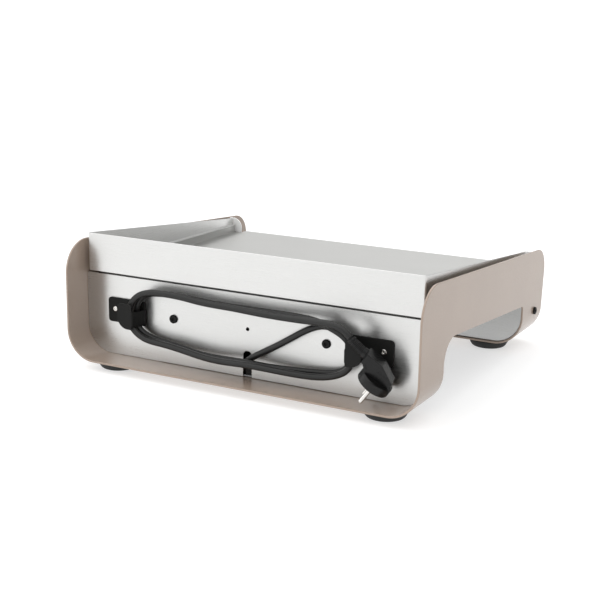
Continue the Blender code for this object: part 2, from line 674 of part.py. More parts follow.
def make_drip_tray():
    rear = -0.1300
    face = FASCIA_FACE - GAP
    outer = block("drip_tray", (-TRAY_HALF, face - 0.0005, TRAY_LOW), (TRAY_HALF, rear, TRAY_TOP))
    inner = block(
        "tray_hollow", (-TRAY_HALF + 0.001, face + 0.001, TRAY_LOW + 0.001),
        (TRAY_HALF - 0.001, rear - 0.001, TRAY_TOP + 0.01), CUTTERS,
    )
    front_shape = rounded(
        [
            (-0.118, 0.0195, 0.003),
            (0.118, 0.0195, 0.003),
            (0.118, 0.0605, 0.003),
            (-0.118, 0.0605, 0.003),
        ],
        steps=3,
    )
    front = slab_xz("tray_front", [front_shape], face - 0.0018, face, CUTTERS)
    combine(outer, [front], "UNION")
    combine(outer, [inner], "DIFFERENCE")
    painted(outer, "brushed_steel")
    at = face - 0.0018 - GAP
    handle_line = [(-0.035, at, 0.046), (-0.035, at - 0.0090, 0.046), (-0.032, at - 0.0120, 0.046)]
    handle_line += [(-x, y, z) for x, y, z in reversed(handle_line)]
    painted(tube("drip_tray_handle", handle_line, 0.0030), "nickel")
    for side, word in SIDES.items():
        outer_x, inner_x = side * (TRAY_HALF + 0.0030), side * (TRAY_HALF + 0.0006)
        shelf_x = side * (TRAY_HALF - 0.0080)
        section = [(outer_x, TRAY_LOW - 0.0016), (shelf_x, TRAY_LOW - 0.0016), (shelf_x, TRAY_LOW - 0.0005)]
        section += [(inner_x, TRAY_LOW - 0.0005), (inner_x, TRAY_LOW + 0.010), (outer_x, TRAY_LOW + 0.010)]
        front, rear = FASCIA_FACE + THIN + GAP, FRONT_WALL - THIN - GAP
        painted(slab_xz(f"tray_runner_{word}", [section], front, rear), "zinc_steel")


def make_wiring():
    block_low, block_high = (0.030, 0.1440, 0.050), (0.070, 0.1580, 0.066)
    terminal = block("terminal_block", block_low, block_high)
    holes = []
    for i in range(3):
        x = block_low[0] + 0.0075 + 0.0125 * i
        holes.append(rod("terminal_hole", (x, 0.151, 0.058), (x, 0.165, 0.058), 0.0028, 8, CUTTERS))
    combine(terminal, holes, "DIFFERENCE")
    painted(terminal, "white_plastic")
    start, onward = cord_points()[0], cord_points()[1]
    way = (onward - start).normalized()
    half, front, rear, top = 0.0120, 0.1435, 0.1615, 0.0300
    grip = block("cord_grip", (-half, front, BOX_LOW + THIN + GAP), (half, rear, top))
    channel = rod(
        "cord_grip_channel", start - way * 0.012, start + way * 0.05, CORD_RADIUS + 0.0004, 16, CUTTERS
    )
    combine(grip, [channel], "DIFFERENCE")
    painted(grip, "black_plastic")


# ---- small hardware -------------------------------------------------------------------------------
def make_feet():
    top = FOOT_HEIGHT - GAP
    r = FOOT_RADIUS
    corners = [(side, row) for side in SIDES for row in ("front", "rear")]
    for side, row in corners:
        corner = f"{row}_{SIDES[side]}"
        place = Matrix.Translation((side * FOOT_X, FOOT_Y[row == "rear"], 0))
        profile = [(r - 0.0015, top), (r, top - 0.0015), (r - 0.0010, 0.0055)]
        profile += [(r - 0.0040, 0.0010), (r - 0.0060, 0)]
        profile += [(0.0056, 0), (0.0056, 0.0050), (0.0026, 0.0050), (0.0026, top)]
        painted(turned(f"foot_{corner}", profile, place, 28), "black_rubber")
        shape = [(0, 0.0114), (0.0021, 0.0114), (0.0021, 0.0047), (0.0050, 0.0047), (0.0046, 0.0018)]
        shape += [(0, 0.0018)]
        painted(turned(f"foot_screw_{corner}", shape, place, 12), "zinc_steel")


def make_side_screws():
    y, z = SIDE_SCREW
    profile = [(0, 0.0010), (0.0017, 0.0010), (0.0017, 0.0026), (0.0038, 0.0026), (0.0047, 0.0016)]
    profile += [(0.0047, 0.0003), (0.0021, 0.0003), (0.0021, -0.0100), (0, -0.0100)]
    for side, word in SIDES.items():
        place = facing((side * WIDTH / 2, y, z), (side, 0, 0))
        painted(turned(f"side_screw_{word}", profile, place, 14), "black_metal")


def make_cord_brackets():
    """Two hooks of bent sheet: a base on the panel, a web and a D-shaped lip that opens outwards."""
    for side, word in SIDES.items():
        def x(distance):
            return BRACKET_MIDDLE + side * distance

        lip_x = BRACKET_HALF
        base_x = BRACKET_HALF - 0.0055
        z0 = BRACKET_Z
        base_y = REAR_FACE + GAP
        lip_y = REAR_FACE + LIP_STANDOFF
        base = rounded(
            [
                (x(base_x), z0 - 0.0145, 0),
                (x(base_x + 0.0530), z0 - 0.0145, 0.004),
                (x(base_x + 0.0530), z0 + 0.0145, 0.004),
                (x(base_x), z0 + 0.0145, 0),
            ],
            steps=4,
        )
        hole = circle((x(lip_x + 0.0370), z0 + 0.0015), 0.0022, 12)
        bracket = slab_xz(f"cord_bracket_{word}", [base, hole], base_y, base_y + BRACKET_SHEET)
        web = slab_xy(
            "bracket_web",
            [
                [
                    (x(base_x), base_y + 0.0005),
                    (x(base_x + BRACKET_SHEET), base_y + 0.0005),
                    (x(lip_x + BRACKET_SHEET), lip_y + 0.0015),
                    (x(lip_x), lip_y + 0.0015),
                ]
            ],
            z0 + BRACKET_WEB[side][0], z0 + BRACKET_WEB[side][1], CUTTERS,
        )
        lip = rounded(
            [
                (x(lip_x), z0 - 0.0150, 0),
                (x(lip_x + 0.0205), z0 - 0.0150, 0.0135),
                (x(lip_x + 0.0205), z0 + 0.0145, 0.0045),
                (x(lip_x), z0 + 0.0145, 0),
            ],
            steps=5,
        )
        flange = slab_xz("bracket_lip", [lip], lip_y, lip_y + BRACKET_SHEET, CUTTERS)
        combine(bracket, [web, flange], "UNION")
        painted(bracket, "black_metal")
        profile = [(0, 0.0008), (0.0012, 0.0008), (0.0012, 0.0018), (0.0026, 0.0018), (0.0036, 0.0003)]
        profile += [(0.0017, 0.0003), (0.0017, -0.0080), (0, -0.0080)]
        at = (x(lip_x + 0.0370), base_y + BRACKET_SHEET, z0 + 0.0015)
        painted(turned(f"bracket_screw_{word}", profile, facing(at, (0, 1, 0)), 12), "nickel")


# ---- the lead -------------------------------------------------------------------------------------
def plug_axes():
    """The plug's own axes: the lead's way, the flat side's way and up from the pin face."""
    up = -PLUG_PIN_WAY
    along = (PLUG_LEAD_WAY - PLUG_LEAD_WAY.dot(up) * up).normalized()
    return along, up.cross(along).normalized(), up


def relief_points():
    """The centre line of the strain relief, from the lead's end to the plug."""
    along, _, up = plug_axes()
    inlet = PLUG_AT + along * (PLUG_INLET[0] - GAP) + up * PLUG_INLET[1]
    steps = 6
    points = [inlet]
    for i in range(steps):
        share = (i + 0.5) / steps
        way = along.lerp(RELIEF_START_WAY, share).normalized()
        points.append(points[-1] - way * RELIEF_LENGTH / steps)
    return list(reversed(points))


def cord_points():
    route = [Vector((x, REAR_FACE + out, z)) for x, out, z in CORD_ROUTE]
    first = relief_points()[0]
    route.append(first - RELIEF_START_WAY * 4 * GAP)
    return [Vector(point) for point in smooth_line(route, CORD_SEGMENTS)]


def make_lead():
    painted(tube("cord", cord_points(), CORD_RADIUS), "cord_rubber")
    line = relief_points()
    radii = [0.0047 + 0.0012 * i / (len(line) - 1) for i in range(len(line))]
    painted(tube("strain_relief", line, 0.0047, radii), "black_plastic")


def make_plug():
    along, across, up = plug_axes()
    axes = Matrix((along, across, up)).transposed().to_4x4()
    place = Matrix.Translation(PLUG_AT) @ axes
    disc = rod("plug_disc", (0, 0, 0), (0, 0, 0.0110), PLUG_FACE_RADIUS, 28, CUTTERS)
    disc.matrix_world = place @ disc.matrix_world
    inlet, height = PLUG_INLET
    side = rounded(
        [
            (inlet, height - 0.0060, 0),
            (inlet, height + 0.0050, 0.001),
            (-0.0045, 0.0285, 0.004),
            (0.0140, 0.0185, 0.003),
            (0.0178, 0.0060, 0),
            (-0.0178, 0.0060, 0),
            (-0.0185, 0.0140, 0.002),
        ],
        steps=3,
    )
    lay = Matrix(((1, 0, 0, 0), (0, 0, -1, 0), (0, 1, 0, 0), (0, 0, 0, 1)))
    body = slab("plug_body", [side], 0.0190, place @ lay)
    combine(body, [disc], "UNION")
    painted(body, "black_plastic")
    for sign, word in ((-1, "near"), (1, "far")):
        y = sign * PIN_SPACING / 2
        profile = [(0, -GAP), (PIN_RADIUS, -GAP), (PIN_RADIUS, 0.0015 - PIN_LENGTH)]
        profile += [(PIN_RADIUS - 0.0008, -PIN_LENGTH), (0, -PIN_LENGTH)]
        pin = turned(f"plug_pin_{word}", profile, place @ Matrix.Translation((0, y, 0)), 12)
        painted(pin, "nickel")


make_cradle()
make_rear_panel()
make_rear_box()
make_rear_fasteners()
make_housing()
make_front_panel()
make_fascia()
make_plate()
make_splash_guard()
make_heating()
make_controls()
make_drip_tray()
make_wiring()
make_feet()
make_side_screws()
make_cord_brackets()
make_lead()
make_plug()
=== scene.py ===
"""Looks of a tabletop hot plate: steel plate and splash guard in a painted cradle, lead wound behind."""

import json
import math

import bmesh
import bpy
import numpy as np
from mathutils import Matrix, Vector


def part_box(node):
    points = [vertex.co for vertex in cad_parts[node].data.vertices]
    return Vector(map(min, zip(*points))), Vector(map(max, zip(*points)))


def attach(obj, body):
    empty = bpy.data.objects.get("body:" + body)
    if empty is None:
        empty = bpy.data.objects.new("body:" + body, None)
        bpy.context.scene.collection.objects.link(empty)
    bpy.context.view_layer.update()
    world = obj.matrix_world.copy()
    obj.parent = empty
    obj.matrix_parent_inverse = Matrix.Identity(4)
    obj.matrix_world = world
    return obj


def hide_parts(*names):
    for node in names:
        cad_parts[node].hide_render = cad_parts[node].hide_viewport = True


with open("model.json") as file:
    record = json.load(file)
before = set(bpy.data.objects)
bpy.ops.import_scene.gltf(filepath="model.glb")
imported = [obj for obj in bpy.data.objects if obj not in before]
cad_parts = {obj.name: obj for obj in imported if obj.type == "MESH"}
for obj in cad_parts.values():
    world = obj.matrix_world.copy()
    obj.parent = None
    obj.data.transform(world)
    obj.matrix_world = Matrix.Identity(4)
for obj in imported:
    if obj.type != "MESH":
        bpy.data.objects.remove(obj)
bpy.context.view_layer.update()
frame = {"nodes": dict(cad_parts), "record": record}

SHEET = 0.0025  # cradle sheet
THIN = 0.0012  # casing sheet
BEND = 0.036  # outer radius of the cradle's lower bends
GAP = 0.0003


# ---- shapes ---------------------------------------------------------------------------------------
def arc(centre, radius, start, end, steps):
    angles = [math.radians(start + (end - start) * i / steps) for i in range(steps + 1)]
    return [(centre[0] + radius * math.cos(a), centre[1] + radius * math.sin(a)) for a in angles]


def circle(centre, radius, steps=32):
    return arc(centre, radius, 0, 360, steps)[:-1]


def rounded(corners, steps=10):
    """A closed outline through corners (a, b, radius), each one rounded by a tangent arc."""
    outline = []
    for i, (a, b, radius) in enumerate(corners):
        here = Vector((a, b))
        if radius == 0:
            outline.append((a, b))
            continue
        before = (Vector(corners[i - 1][:2]) - here).normalized()
        after = (Vector(corners[(i + 1) % len(corners)][:2]) - here).normalized()
        half = before.angle(after) / 2
        centre = here + (before + after).normalized() * radius / math.sin(half)
        first = here + before * radius / math.tan(half) - centre
        last = here + after * radius / math.tan(half) - centre
        swing = first.angle_signed(last)
        for step in range(steps + 1):
            point = centre + Matrix.Rotation(-swing * step / steps, 2) @ first
            outline.append((point.x, point.y))
    return outline


def area(outline):
    return sum(a[0] * b[1] - b[0] * a[1] for a, b in zip(outline, outline[1:] + outline[:1])) / 2


def to_object(name, bm):
    mesh = bpy.data.meshes.new(name)
    bmesh.ops.recalc_face_normals(bm, faces=bm.faces)
    bm.to_mesh(mesh)
    bm.free()
    obj = bpy.data.objects.new(name, mesh)
    bpy.context.scene.collection.objects.link(obj)
    return obj


def baked(obj):
    """The object's evaluated shape in world space, as a bmesh; the object is removed."""
    bpy.context.view_layer.update()
    evaluated = obj.evaluated_get(bpy.context.evaluated_depsgraph_get())
    mesh = bpy.data.meshes.new_from_object(evaluated)
    mesh.transform(obj.matrix_world)
    bm = bmesh.new()
    bm.from_mesh(mesh)
    bmesh.ops.remove_doubles(bm, verts=bm.verts, dist=1e-6)
    bpy.data.objects.remove(obj, do_unlink=True)
    bpy.data.meshes.remove(mesh)
    return bm


def joined(name, objects):
    total = bmesh.new()
    for obj in objects:
        bm = baked(obj)
        mesh = bpy.data.meshes.new("part")
        bm.to_mesh(mesh)
        bm.free()
        total.from_mesh(mesh)
        bpy.data.meshes.remove(mesh)
    return to_object(name, total)


def blank(outlines, thickness, edge):
    """A flat sheet in the XY plane with rounded edges: the first outline less the others."""
    curve = bpy.data.curves.new("blank", "CURVE")
    curve.dimensions = "2D"
    curve.fill_mode = "BOTH"
    curve.extrude = thickness / 2 - edge
    curve.bevel_depth = edge
    curve.bevel_resolution = 1
    curve.offset = -edge
    for i, outline in enumerate(outlines):
        outline = list(outline)
        if (area(outline) < 0) != (i > 0):
            outline.reverse()
        spline = curve.splines.new("POLY")
        spline.points.add(len(outline) - 1)
        for point, (a, b) in zip(spline.points, outline):
            point.co = (a, b, 0, 1)
        spline.use_cyclic_u = True
    obj = bpy.data.objects.new("blank", curve)
    bpy.context.scene.collection.objects.link(obj)
    return obj


LAYS = {
    "XY": Matrix.Identity(4),
    "XZ": Matrix(((1, 0, 0, 0), (0, 0, -1, 0), (0, 1, 0, 0), (0, 0, 0, 1))),
    "YZ": Matrix(((0, 0, 1, 0), (1, 0, 0, 0), (0, 1, 0, 0), (0, 0, 0, 1))),
}


def slab(name, plane, outlines, low, high, edge=0.0003):
    """A flat sheet with rounded edges in a plane, from low to high on the axis across it."""
    obj = blank(outlines, high - low, edge)
    across = {"XY": 2, "XZ": 1, "YZ": 0}[plane]
    shift = Vector((0, 0, 0))
    shift[across] = (low + high) / 2
    obj.matrix_world = Matrix.Translation(shift) @ LAYS[plane]
    return to_object(name, baked(obj))


def bent(name, outlines, path, start, heading, place, thickness, edge=0.0004, steps=14):
    """A blank (a across, s along) folded along a line of straights and bends (length, turn, radius)."""
    bm = baked(blank(outlines, thickness, edge))
    bmesh.ops.triangulate(bm, faces=[f for f in bm.faces if len(f.verts) > 4])
    pieces, s, at, angle = [], 0.0, Vector(start), math.radians(heading)
    for length, turn, radius in path:
        pieces.append((s, s + length, at.copy(), angle, 0.0))
        at += Vector((math.cos(angle), math.sin(angle))) * length
        s += length
        if turn:
            swing = math.radians(turn)
            span = radius * abs(swing)
            pieces.append((s, s + span, at.copy(), angle, swing))
            centre = at + Vector((-math.sin(angle), math.cos(angle))) * math.copysign(radius, turn)
            angle += swing
            at = centre - Vector((-math.sin(angle), math.cos(angle))) * math.copysign(radius, turn)
            s += span
    for low, high, _, _, swing in pieces:
        count = steps if swing else 1
        for i in range(count + 1):
            cut = low + (high - low) * i / count
            geometry = list(bm.verts) + list(bm.edges) + list(bm.faces)
            bmesh.ops.bisect_plane(bm, geom=geometry, plane_co=(0, cut, 0), plane_no=(0, 1, 0), dist=1e-7)
    for vert in bm.verts:
        a, s, t = vert.co
        low, high, at, angle, swing = next(
            (p for p in pieces if s <= p[1] + 1e-9), pieces[-1]
        )
        if swing:
            radius = (high - low) / abs(swing)
            centre = at + Vector((-math.sin(angle), math.cos(angle))) * math.copysign(radius, swing)
            here = angle + swing * (s - low) / (high - low)
            side = Vector((-math.sin(here), math.cos(here)))
            point = centre - side * math.copysign(radius, swing) + side * t
        else:
            way = Vector((math.cos(angle), math.sin(angle)))
            point = at + way * (s - low) + Vector((-way.y, way.x)) * t
        vert.co = place(a, point.x, point.y)
    return to_object(name, bm)


def loft(name, rings, caps=True):
    """A body through closed rings of as many points each."""
    bm = bmesh.new()
    rows = [[bm.verts.new(point) for point in ring] for ring in rings]
    for first, second in zip(rows, rows[1:]):
        for i in range(len(first)):
            j = (i + 1) % len(first)
            bm.faces.new((first[i], first[j], second[j], second[i]))
    if caps:
        bm.faces.new(list(reversed(rows[0])))
        bm.faces.new(rows[-1])
    return to_object(name, bm)


def facing(at, way):
    return Matrix.Translation(at) @ Vector(way).to_track_quat("Z", "Y").to_matrix().to_4x4()


def hexagon(radius):
    def reach(angle):
        return radius / math.cos((angle + math.pi / 6) % (math.pi / 3) - math.pi / 6)
    return reach


def lathe(name, profile, place, sides=48):
    """Rings down a profile of (radius or a function of the angle, height)."""
    rings = []
    for radius, height in profile:
        ring = []
        for i in range(sides):
            angle = 2 * math.pi * i / sides
            r = radius(angle) if callable(radius) else radius
            ring.append(place @ Vector((r * math.cos(angle), r * math.sin(angle), height)))
        rings.append(ring)
    return loft(name, rings)


def round_over(radius, top, edge, steps=4):
    """Profile points over a rounded outer edge, from the top face down the side."""
    return [
        (radius - edge + edge * math.sin(a), top - edge + edge * math.cos(a))
        for a in [math.pi / 2 * i / steps for i in range(steps + 1)]
    ]


def smooth_line(route, count):
    """Evenly spaced points along a natural cubic spline through the route."""
    knots = np.array([tuple(point) for point in route], dtype=float)
    chords = np.linalg.norm(np.diff(knots, axis=0), axis=1)
    at = np.concatenate([[0.0], np.cumsum(chords)])
    n = len(knots)
    system = np.eye(n)
    right = np.zeros_like(knots)
    for i in range(1, n - 1):
        system[i, i - 1 : i + 2] = chords[i - 1], 2 * (chords[i - 1] + chords[i]), chords[i]
        rise = (knots[i + 1] - knots[i]) / chords[i] - (knots[i] - knots[i - 1]) / chords[i - 1]
        right[i] = 6 * rise
    second = np.linalg.solve(system, right)
    fine = np.linspace(0, at[-1], 40 * n)
    k = np.clip(np.searchsorted(at, fine, side="right") - 1, 0, n - 2)
    span = chords[k][:, None]
    a = (at[k + 1] - fine)[:, None] / span
    b = 1 - a
    bow = ((a**3 - a) * second[k] + (b**3 - b) * second[k + 1]) * span**2 / 6
    line = a * knots[k] + b * knots[k + 1] + bow
    steps = np.linalg.norm(np.diff(line, axis=0), axis=1)
    done = np.concatenate([[0.0], np.cumsum(steps)])
    wanted = np.linspace(0, done[-1], count + 1)
    return [Vector(p) for p in np.stack([np.interp(wanted, done, line[:, c]) for c in range(3)], axis=1)]


def tube(name, points, radii, resolution=6):
    """A round curve through points; radii is one radius or one for each point."""
    curve = bpy.data.curves.new(name, "CURVE")
    curve.dimensions = "3D"
    curve.bevel_depth = 0.001
    curve.bevel_resolution = resolution
    curve.use_fill_caps = True
    curve.twist_mode = "MINIMUM"
    spline = curve.splines.new("POLY")
    spline.points.add(len(points) - 1)
    for i, point in enumerate(points):
        spline.points[i].co = (*point, 1)
        spline.points[i].radius = (radii if isinstance(radii, float) else radii[i]) / 0.001
    obj = bpy.data.objects.new(name, curve)
    bpy.context.scene.collection.objects.link(obj)
    return obj


def boolean(obj, other, operation):
    modifier = obj.modifiers.new("cut", "BOOLEAN")
    modifier.operation = operation
    modifier.solver = "EXACT"
    modifier.object = other
    name = obj.name
    bm = baked(obj)
    bpy.data.objects.remove(other, do_unlink=True)
    return to_object(name, bm)


def shade(obj, sharp=38):
    """Smooth shading with flat faces kept flat."""
    obj.data.shade_smooth()
    obj.data.set_sharp_from_angle(angle=math.radians(sharp))
    modifier = obj.modifiers.new("normals", "WEIGHTED_NORMAL")
    modifier.keep_sharp = True
    modifier.weight = 80
    return obj


def piece(obj, body, slot, nodes, sharp=38):
    if obj.type == "MESH":
        shade(obj, sharp)
    obj.data.materials.clear()
    obj.data.materials.append(MATERIALS[slot])
    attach(obj, body)
    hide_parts(*nodes)
    return obj


# ---- materials ------------------------------------------------------------------------------------
def add(tree, kind, **sockets):
    node = tree.nodes.new(kind)
    for name, value in sockets.items():
        node.inputs[name.replace("_", " ")].default_value = value
    return node


def mixed(tree, factor, low, high):
    """A colour between low and high by a factor socket."""
    node = tree.nodes.new("ShaderNodeMix")
    node.data_type = "RGBA"
    node.inputs["A"].default_value = (*low, 1)
    node.inputs["B"].default_value = (*high, 1)
    tree.links.new(factor, node.inputs["Factor"])
    return node.outputs["Result"]


def spread(tree, factor, low, high):
    node = tree.nodes.new("ShaderNodeMapRange")
    for i, value in ((1, 0.3), (2, 0.7), (3, low), (4, high)):
        node.inputs[i].default_value = value
    tree.links.new(factor, node.inputs[0])
    return node.outputs[0]


def noise(tree, scale, detail=4.0, rough=0.6):
    """Noise on the object's own coordinates, scaled differently along each axis."""
    coords = tree.nodes.new("ShaderNodeTexCoord")
    mapping = tree.nodes.new("ShaderNodeMapping")
    mapping.inputs["Scale"].default_value = scale
    tree.links.new(coords.outputs["Object"], mapping.inputs["Vector"])
    texture = add(tree, "ShaderNodeTexNoise", Scale=1.0, Detail=detail, Roughness=rough)
    tree.links.new(mapping.outputs[0], texture.inputs["Vector"])
    return texture.outputs["Fac"]


def brushed_along(material, axis, turn):
    """Stretches a metal's highlights across the brushing, for brushing round or square to an axis."""
    tree = material.node_tree
    tangent = tree.nodes.new("ShaderNodeTangent")
    tangent.direction_type = "RADIAL"
    tangent.axis = axis
    shader = tree.nodes["Principled BSDF"]
    tree.links.new(tangent.outputs[0], shader.inputs["Tangent"])
    shader.inputs["Anisotropic Rotation"].default_value = turn
    return material


def surface(name, colour, rough, metallic, grain, tint=0.06, shine=0.06, bump=0.1,
            depth=0.0001, mottle=(9, 9, 9), cloud=0.05, **sockets):
    """Principled material: grain for brushing or texture, mottle for slow changes of tone."""
    material = bpy.data.materials.new(name)
    material.use_nodes = True
    tree = material.node_tree
    shader = tree.nodes["Principled BSDF"]
    shader.inputs["Metallic"].default_value = metallic
    for key, value in sockets.items():
        shader.inputs[key.replace("_", " ")].default_value = value
    fine = noise(tree, grain)
    slow = noise(tree, mottle, 3.0, 0.5)
    add_tones = tree.nodes.new("ShaderNodeMath")
    add_tones.operation = "MULTIPLY_ADD"
    add_tones.inputs[1].default_value = tint / (tint + cloud)
    tree.links.new(fine, add_tones.inputs[0])
    part = tree.nodes.new("ShaderNodeMath")
    part.operation = "MULTIPLY"
    part.inputs[1].default_value = cloud / (tint + cloud)
    tree.links.new(slow, part.inputs[0])
    tree.links.new(part.outputs[0], add_tones.inputs[2])
    stretched = spread(tree, add_tones.outputs[0], 0.0, 1.0)
    total = tint + cloud
    low = tuple(c * (1 - total) for c in colour)
    high = tuple(min(1.0, c * (1 + total)) for c in colour)
    tree.links.new(mixed(tree, stretched, low, high), shader.inputs["Base Color"])
    tree.links.new(spread(tree, fine, rough - shine, rough + shine), shader.inputs["Roughness"])
    relief = add(tree, "ShaderNodeBump", Strength=bump, Distance=depth)
    tree.links.new(fine, relief.inputs["Height"])
    tree.links.new(relief.outputs["Normal"], shader.inputs["Normal"])
    return material


MATERIALS = {
    "taupe_paint": surface(
        "taupe_paint", (0.340, 0.266, 0.216), 0.30, 0.0, (1500, 1500, 1500), 0.035, 0.04, 0.12,
        0.00005, (14, 14, 14), 0.03, Coat_Weight=0.3, Coat_Roughness=0.09, Specular_IOR_Level=0.35,
    ),
    "brushed_steel": brushed_along(surface(
        "brushed_steel", (0.65, 0.65, 0.64), 0.30, 1.0, (30, 30, 5200), 0.018, 0.04, 0.08,
        0.00002, (4, 4, 30), 0.012, Anisotropic=0.7,
    ), "Z", 0.25),
    "plate_steel": brushed_along(surface(
        "plate_steel", (0.51, 0.51, 0.497), 0.36, 1.0, (30, 4200, 30), 0.022, 0.04, 0.08,
        0.00002, (12, 20, 12), 0.015, Anisotropic=0.4,
    ), "X", 0.0),
    "zinc_steel": surface(
        "zinc_steel", (0.46, 0.47, 0.48), 0.46, 1.0, (420, 420, 420), 0.10, 0.10, 0.15,
        0.00008, (40, 40, 40), 0.08,
    ),
    "black_metal": surface(
        "black_metal", (0.006, 0.006, 0.0055), 0.58, 0.0, (2200, 2200, 2200), 0.15, 0.08, 0.3,
        0.00006, (60, 60, 60), 0.10, Specular_IOR_Level=0.2,
    ),
    "black_rubber": surface(
        "black_rubber", (0.012, 0.012, 0.012), 0.68, 0.0, (1400, 1400, 1400), 0.2, 0.08, 0.5,
        0.0001, (90, 90, 90), 0.15,
    ),
    "cord_rubber": surface(
        "cord_rubber", (0.012, 0.012, 0.0115), 0.38, 0.0, (1600, 1600, 1600), 0.12, 0.06, 0.25,
        0.00006, (70, 70, 70), 0.12, Specular_IOR_Level=0.35,
    ),
    "black_plastic": surface(
        "black_plastic", (0.006, 0.006, 0.006), 0.26, 0.0, (1700, 1700, 1700), 0.12, 0.06, 0.2,
        0.00005, (60, 60, 60), 0.10, Specular_IOR_Level=0.28,
    ),
    "white_plastic": surface(
        "white_plastic", (0.70, 0.69, 0.64), 0.45, 0.0, (900, 900, 900), 0.05, 0.08, 0.2,
        0.00006, (60, 60, 60), 0.05,
    ),
    "red_lens": surface(
        "red_lens", (0.55, 0.03, 0.02), 0.14, 0.0, (260, 260, 260), 0.10, 0.04, 0.1,
        0.00005, (120, 120, 120), 0.08, Coat_Weight=0.6, Coat_Roughness=0.06,
    ),
    "nickel": surface(
        "nickel", (0.74, 0.72, 0.69), 0.17, 1.0, (900, 900, 900), 0.04, 0.05, 0.12,
        0.00004, (80, 80, 80), 0.05,
    ),
    # Near-white, barely metallic copy of the brushed steel for the fascia ears: a painted highlight that
    # makes the ears read bright as if catching the light.
    "steel_with_painted_highlight": surface(
        "steel_with_painted_highlight", (0.92, 0.92, 0.91), 0.55, 0.1, (1200, 1200, 1200), 0.03, 0.05, 0.15,
        0.00004, (30, 30, 30), 0.02,
    ),
    "mineral_board": surface(
        "mineral_board", (0.50, 0.47, 0.40), 0.85, 0.0, (350, 1600, 600), 0.14, 0.08, 0.7,
        0.0003, (80, 80, 80), 0.08,
    ),
}


# ---- camera, light and floor ----------------------------------------------------------------------
def camera():
    data = bpy.data.cameras.new("camera")
    data.lens = 73.1
    data.sensor_width = 36
    data.clip_end = 200
    obj = bpy.data.objects.new("camera", data)
    bpy.context.scene.collection.objects.link(obj)
    place, target = Vector((-0.6538, 1.2747, 0.4217)), Vector((-0.0896, 0.2126, 0.1229))
    turn = (target - place).to_track_quat("-Z", "Y").to_matrix() @ Matrix.Rotation(math.radians(1.0), 3, "Z")
    obj.matrix_world = Matrix.Translation(place) @ turn.to_4x4()
    bpy.context.scene.camera = obj


def sun(name, way, strength, angle, colour=(1, 1, 1)):
    data = bpy.data.lights.new(name, "SUN")
    data.energy = strength
    data.angle = math.radians(angle)
    data.color = colour
    obj = bpy.data.objects.new(name, data)
    bpy.context.scene.collection.objects.link(obj)
    obj.matrix_world = Vector(way).to_track_quat("-Z", "Y").to_matrix().to_4x4()


def tones(tree, value, stops):
    """Grey levels along a value that runs from -1 to 1."""
    share = tree.nodes.new("ShaderNodeMapRange")
    share.inputs[1].default_value = -1.0
    tree.links.new(value, share.inputs[0])
    ramp = tree.nodes.new("ShaderNodeValToRGB")
    elements = ramp.color_ramp.elements
    while len(elements) < len(stops):
        elements.new(0.5)
    for element, (at, level) in zip(elements, stops):
        element.position = (at + 1) / 2
        element.color = (level, level, level, 1)
    tree.links.new(share.outputs[0], ramp.inputs[0])
    return ramp.outputs[0]


def multiplied(tree, a, b):
    node = tree.nodes.new("ShaderNodeVectorMath")
    node.operation = "MULTIPLY"
    tree.links.new(a, node.inputs[0])
    tree.links.new(b, node.inputs[1])
    return node.outputs[0]


def studio():
    """A white room, darker overhead and past the -X side, with a bright screen behind the camera."""
    world = bpy.data.worlds.new("studio")
    bpy.context.scene.world = world
    world.use_nodes = True
    tree = world.node_tree
    coords = tree.nodes.new("ShaderNodeTexCoord")
    parts = tree.nodes.new("ShaderNodeSeparateXYZ")
    tree.links.new(coords.outputs["Generated"], parts.inputs[0])
    x, y, z = parts.outputs
    horizon = 2.6  # a thin bright line where the floor ends
    height = tones(tree, z, [
        (-1.0, horizon), (0.015, horizon), (0.03, 1.0), (0.25, 0.74), (0.6, 0.40), (0.95, 0.26),
    ])
    rear = tones(tree, x, [
        (-1.0, 0.60), (-0.1, 0.72), (0.36, 0.72), (0.50, 1.0), (0.64, 0.72), (1.0, 0.75),
    ])
    front = tones(tree, x, [
        (-1.0, 0.34), (-0.30, 0.42), (0.05, 0.75), (0.36, 1.0), (0.62, 0.62), (1.0, 0.60),
    ])
    toward = tones(tree, y, [(-1.0, 0.0), (-0.25, 0.0), (0.25, 1.0), (1.0, 1.0)])
    side = tree.nodes.new("ShaderNodeMix")
    side.data_type = "RGBA"
    tree.links.new(toward, side.inputs["Factor"])
    tree.links.new(front, side.inputs["A"])
    tree.links.new(rear, side.inputs["B"])
    background = tree.nodes["Background"]
    tree.links.new(multiplied(tree, height, side.outputs["Result"]), background.inputs["Color"])
    background.inputs["Strength"].default_value = 1.05
    sun("key", (-0.45, -0.20, -1.0), 2.5, 120)
    sun("top", (0.1, 0.2, -1.0), 1.3, 120)
    bpy.context.scene.view_settings.view_transform = "Standard"


def floor():
    bm = bmesh.new()
    bmesh.ops.create_grid(bm, x_segments=1, y_segments=1, size=60)
    obj = to_object("floor", bm)
    obj.data.materials.append(
        surface("floor_paper", (0.48, 0.48, 0.48), 0.8, 0.0, (300, 300, 300), 0.004, 0.03, 0.02, 0.0001,
                (2, 2, 2), 0.004, Emission_Color=(1, 1, 1, 1), Emission_Strength=0.58)
    )


camera()


# ---- the lead -------------------------------------------------------------------------------------
REAR_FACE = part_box("rear_panel")[1].y
CORD_RADIUS = 0.0036
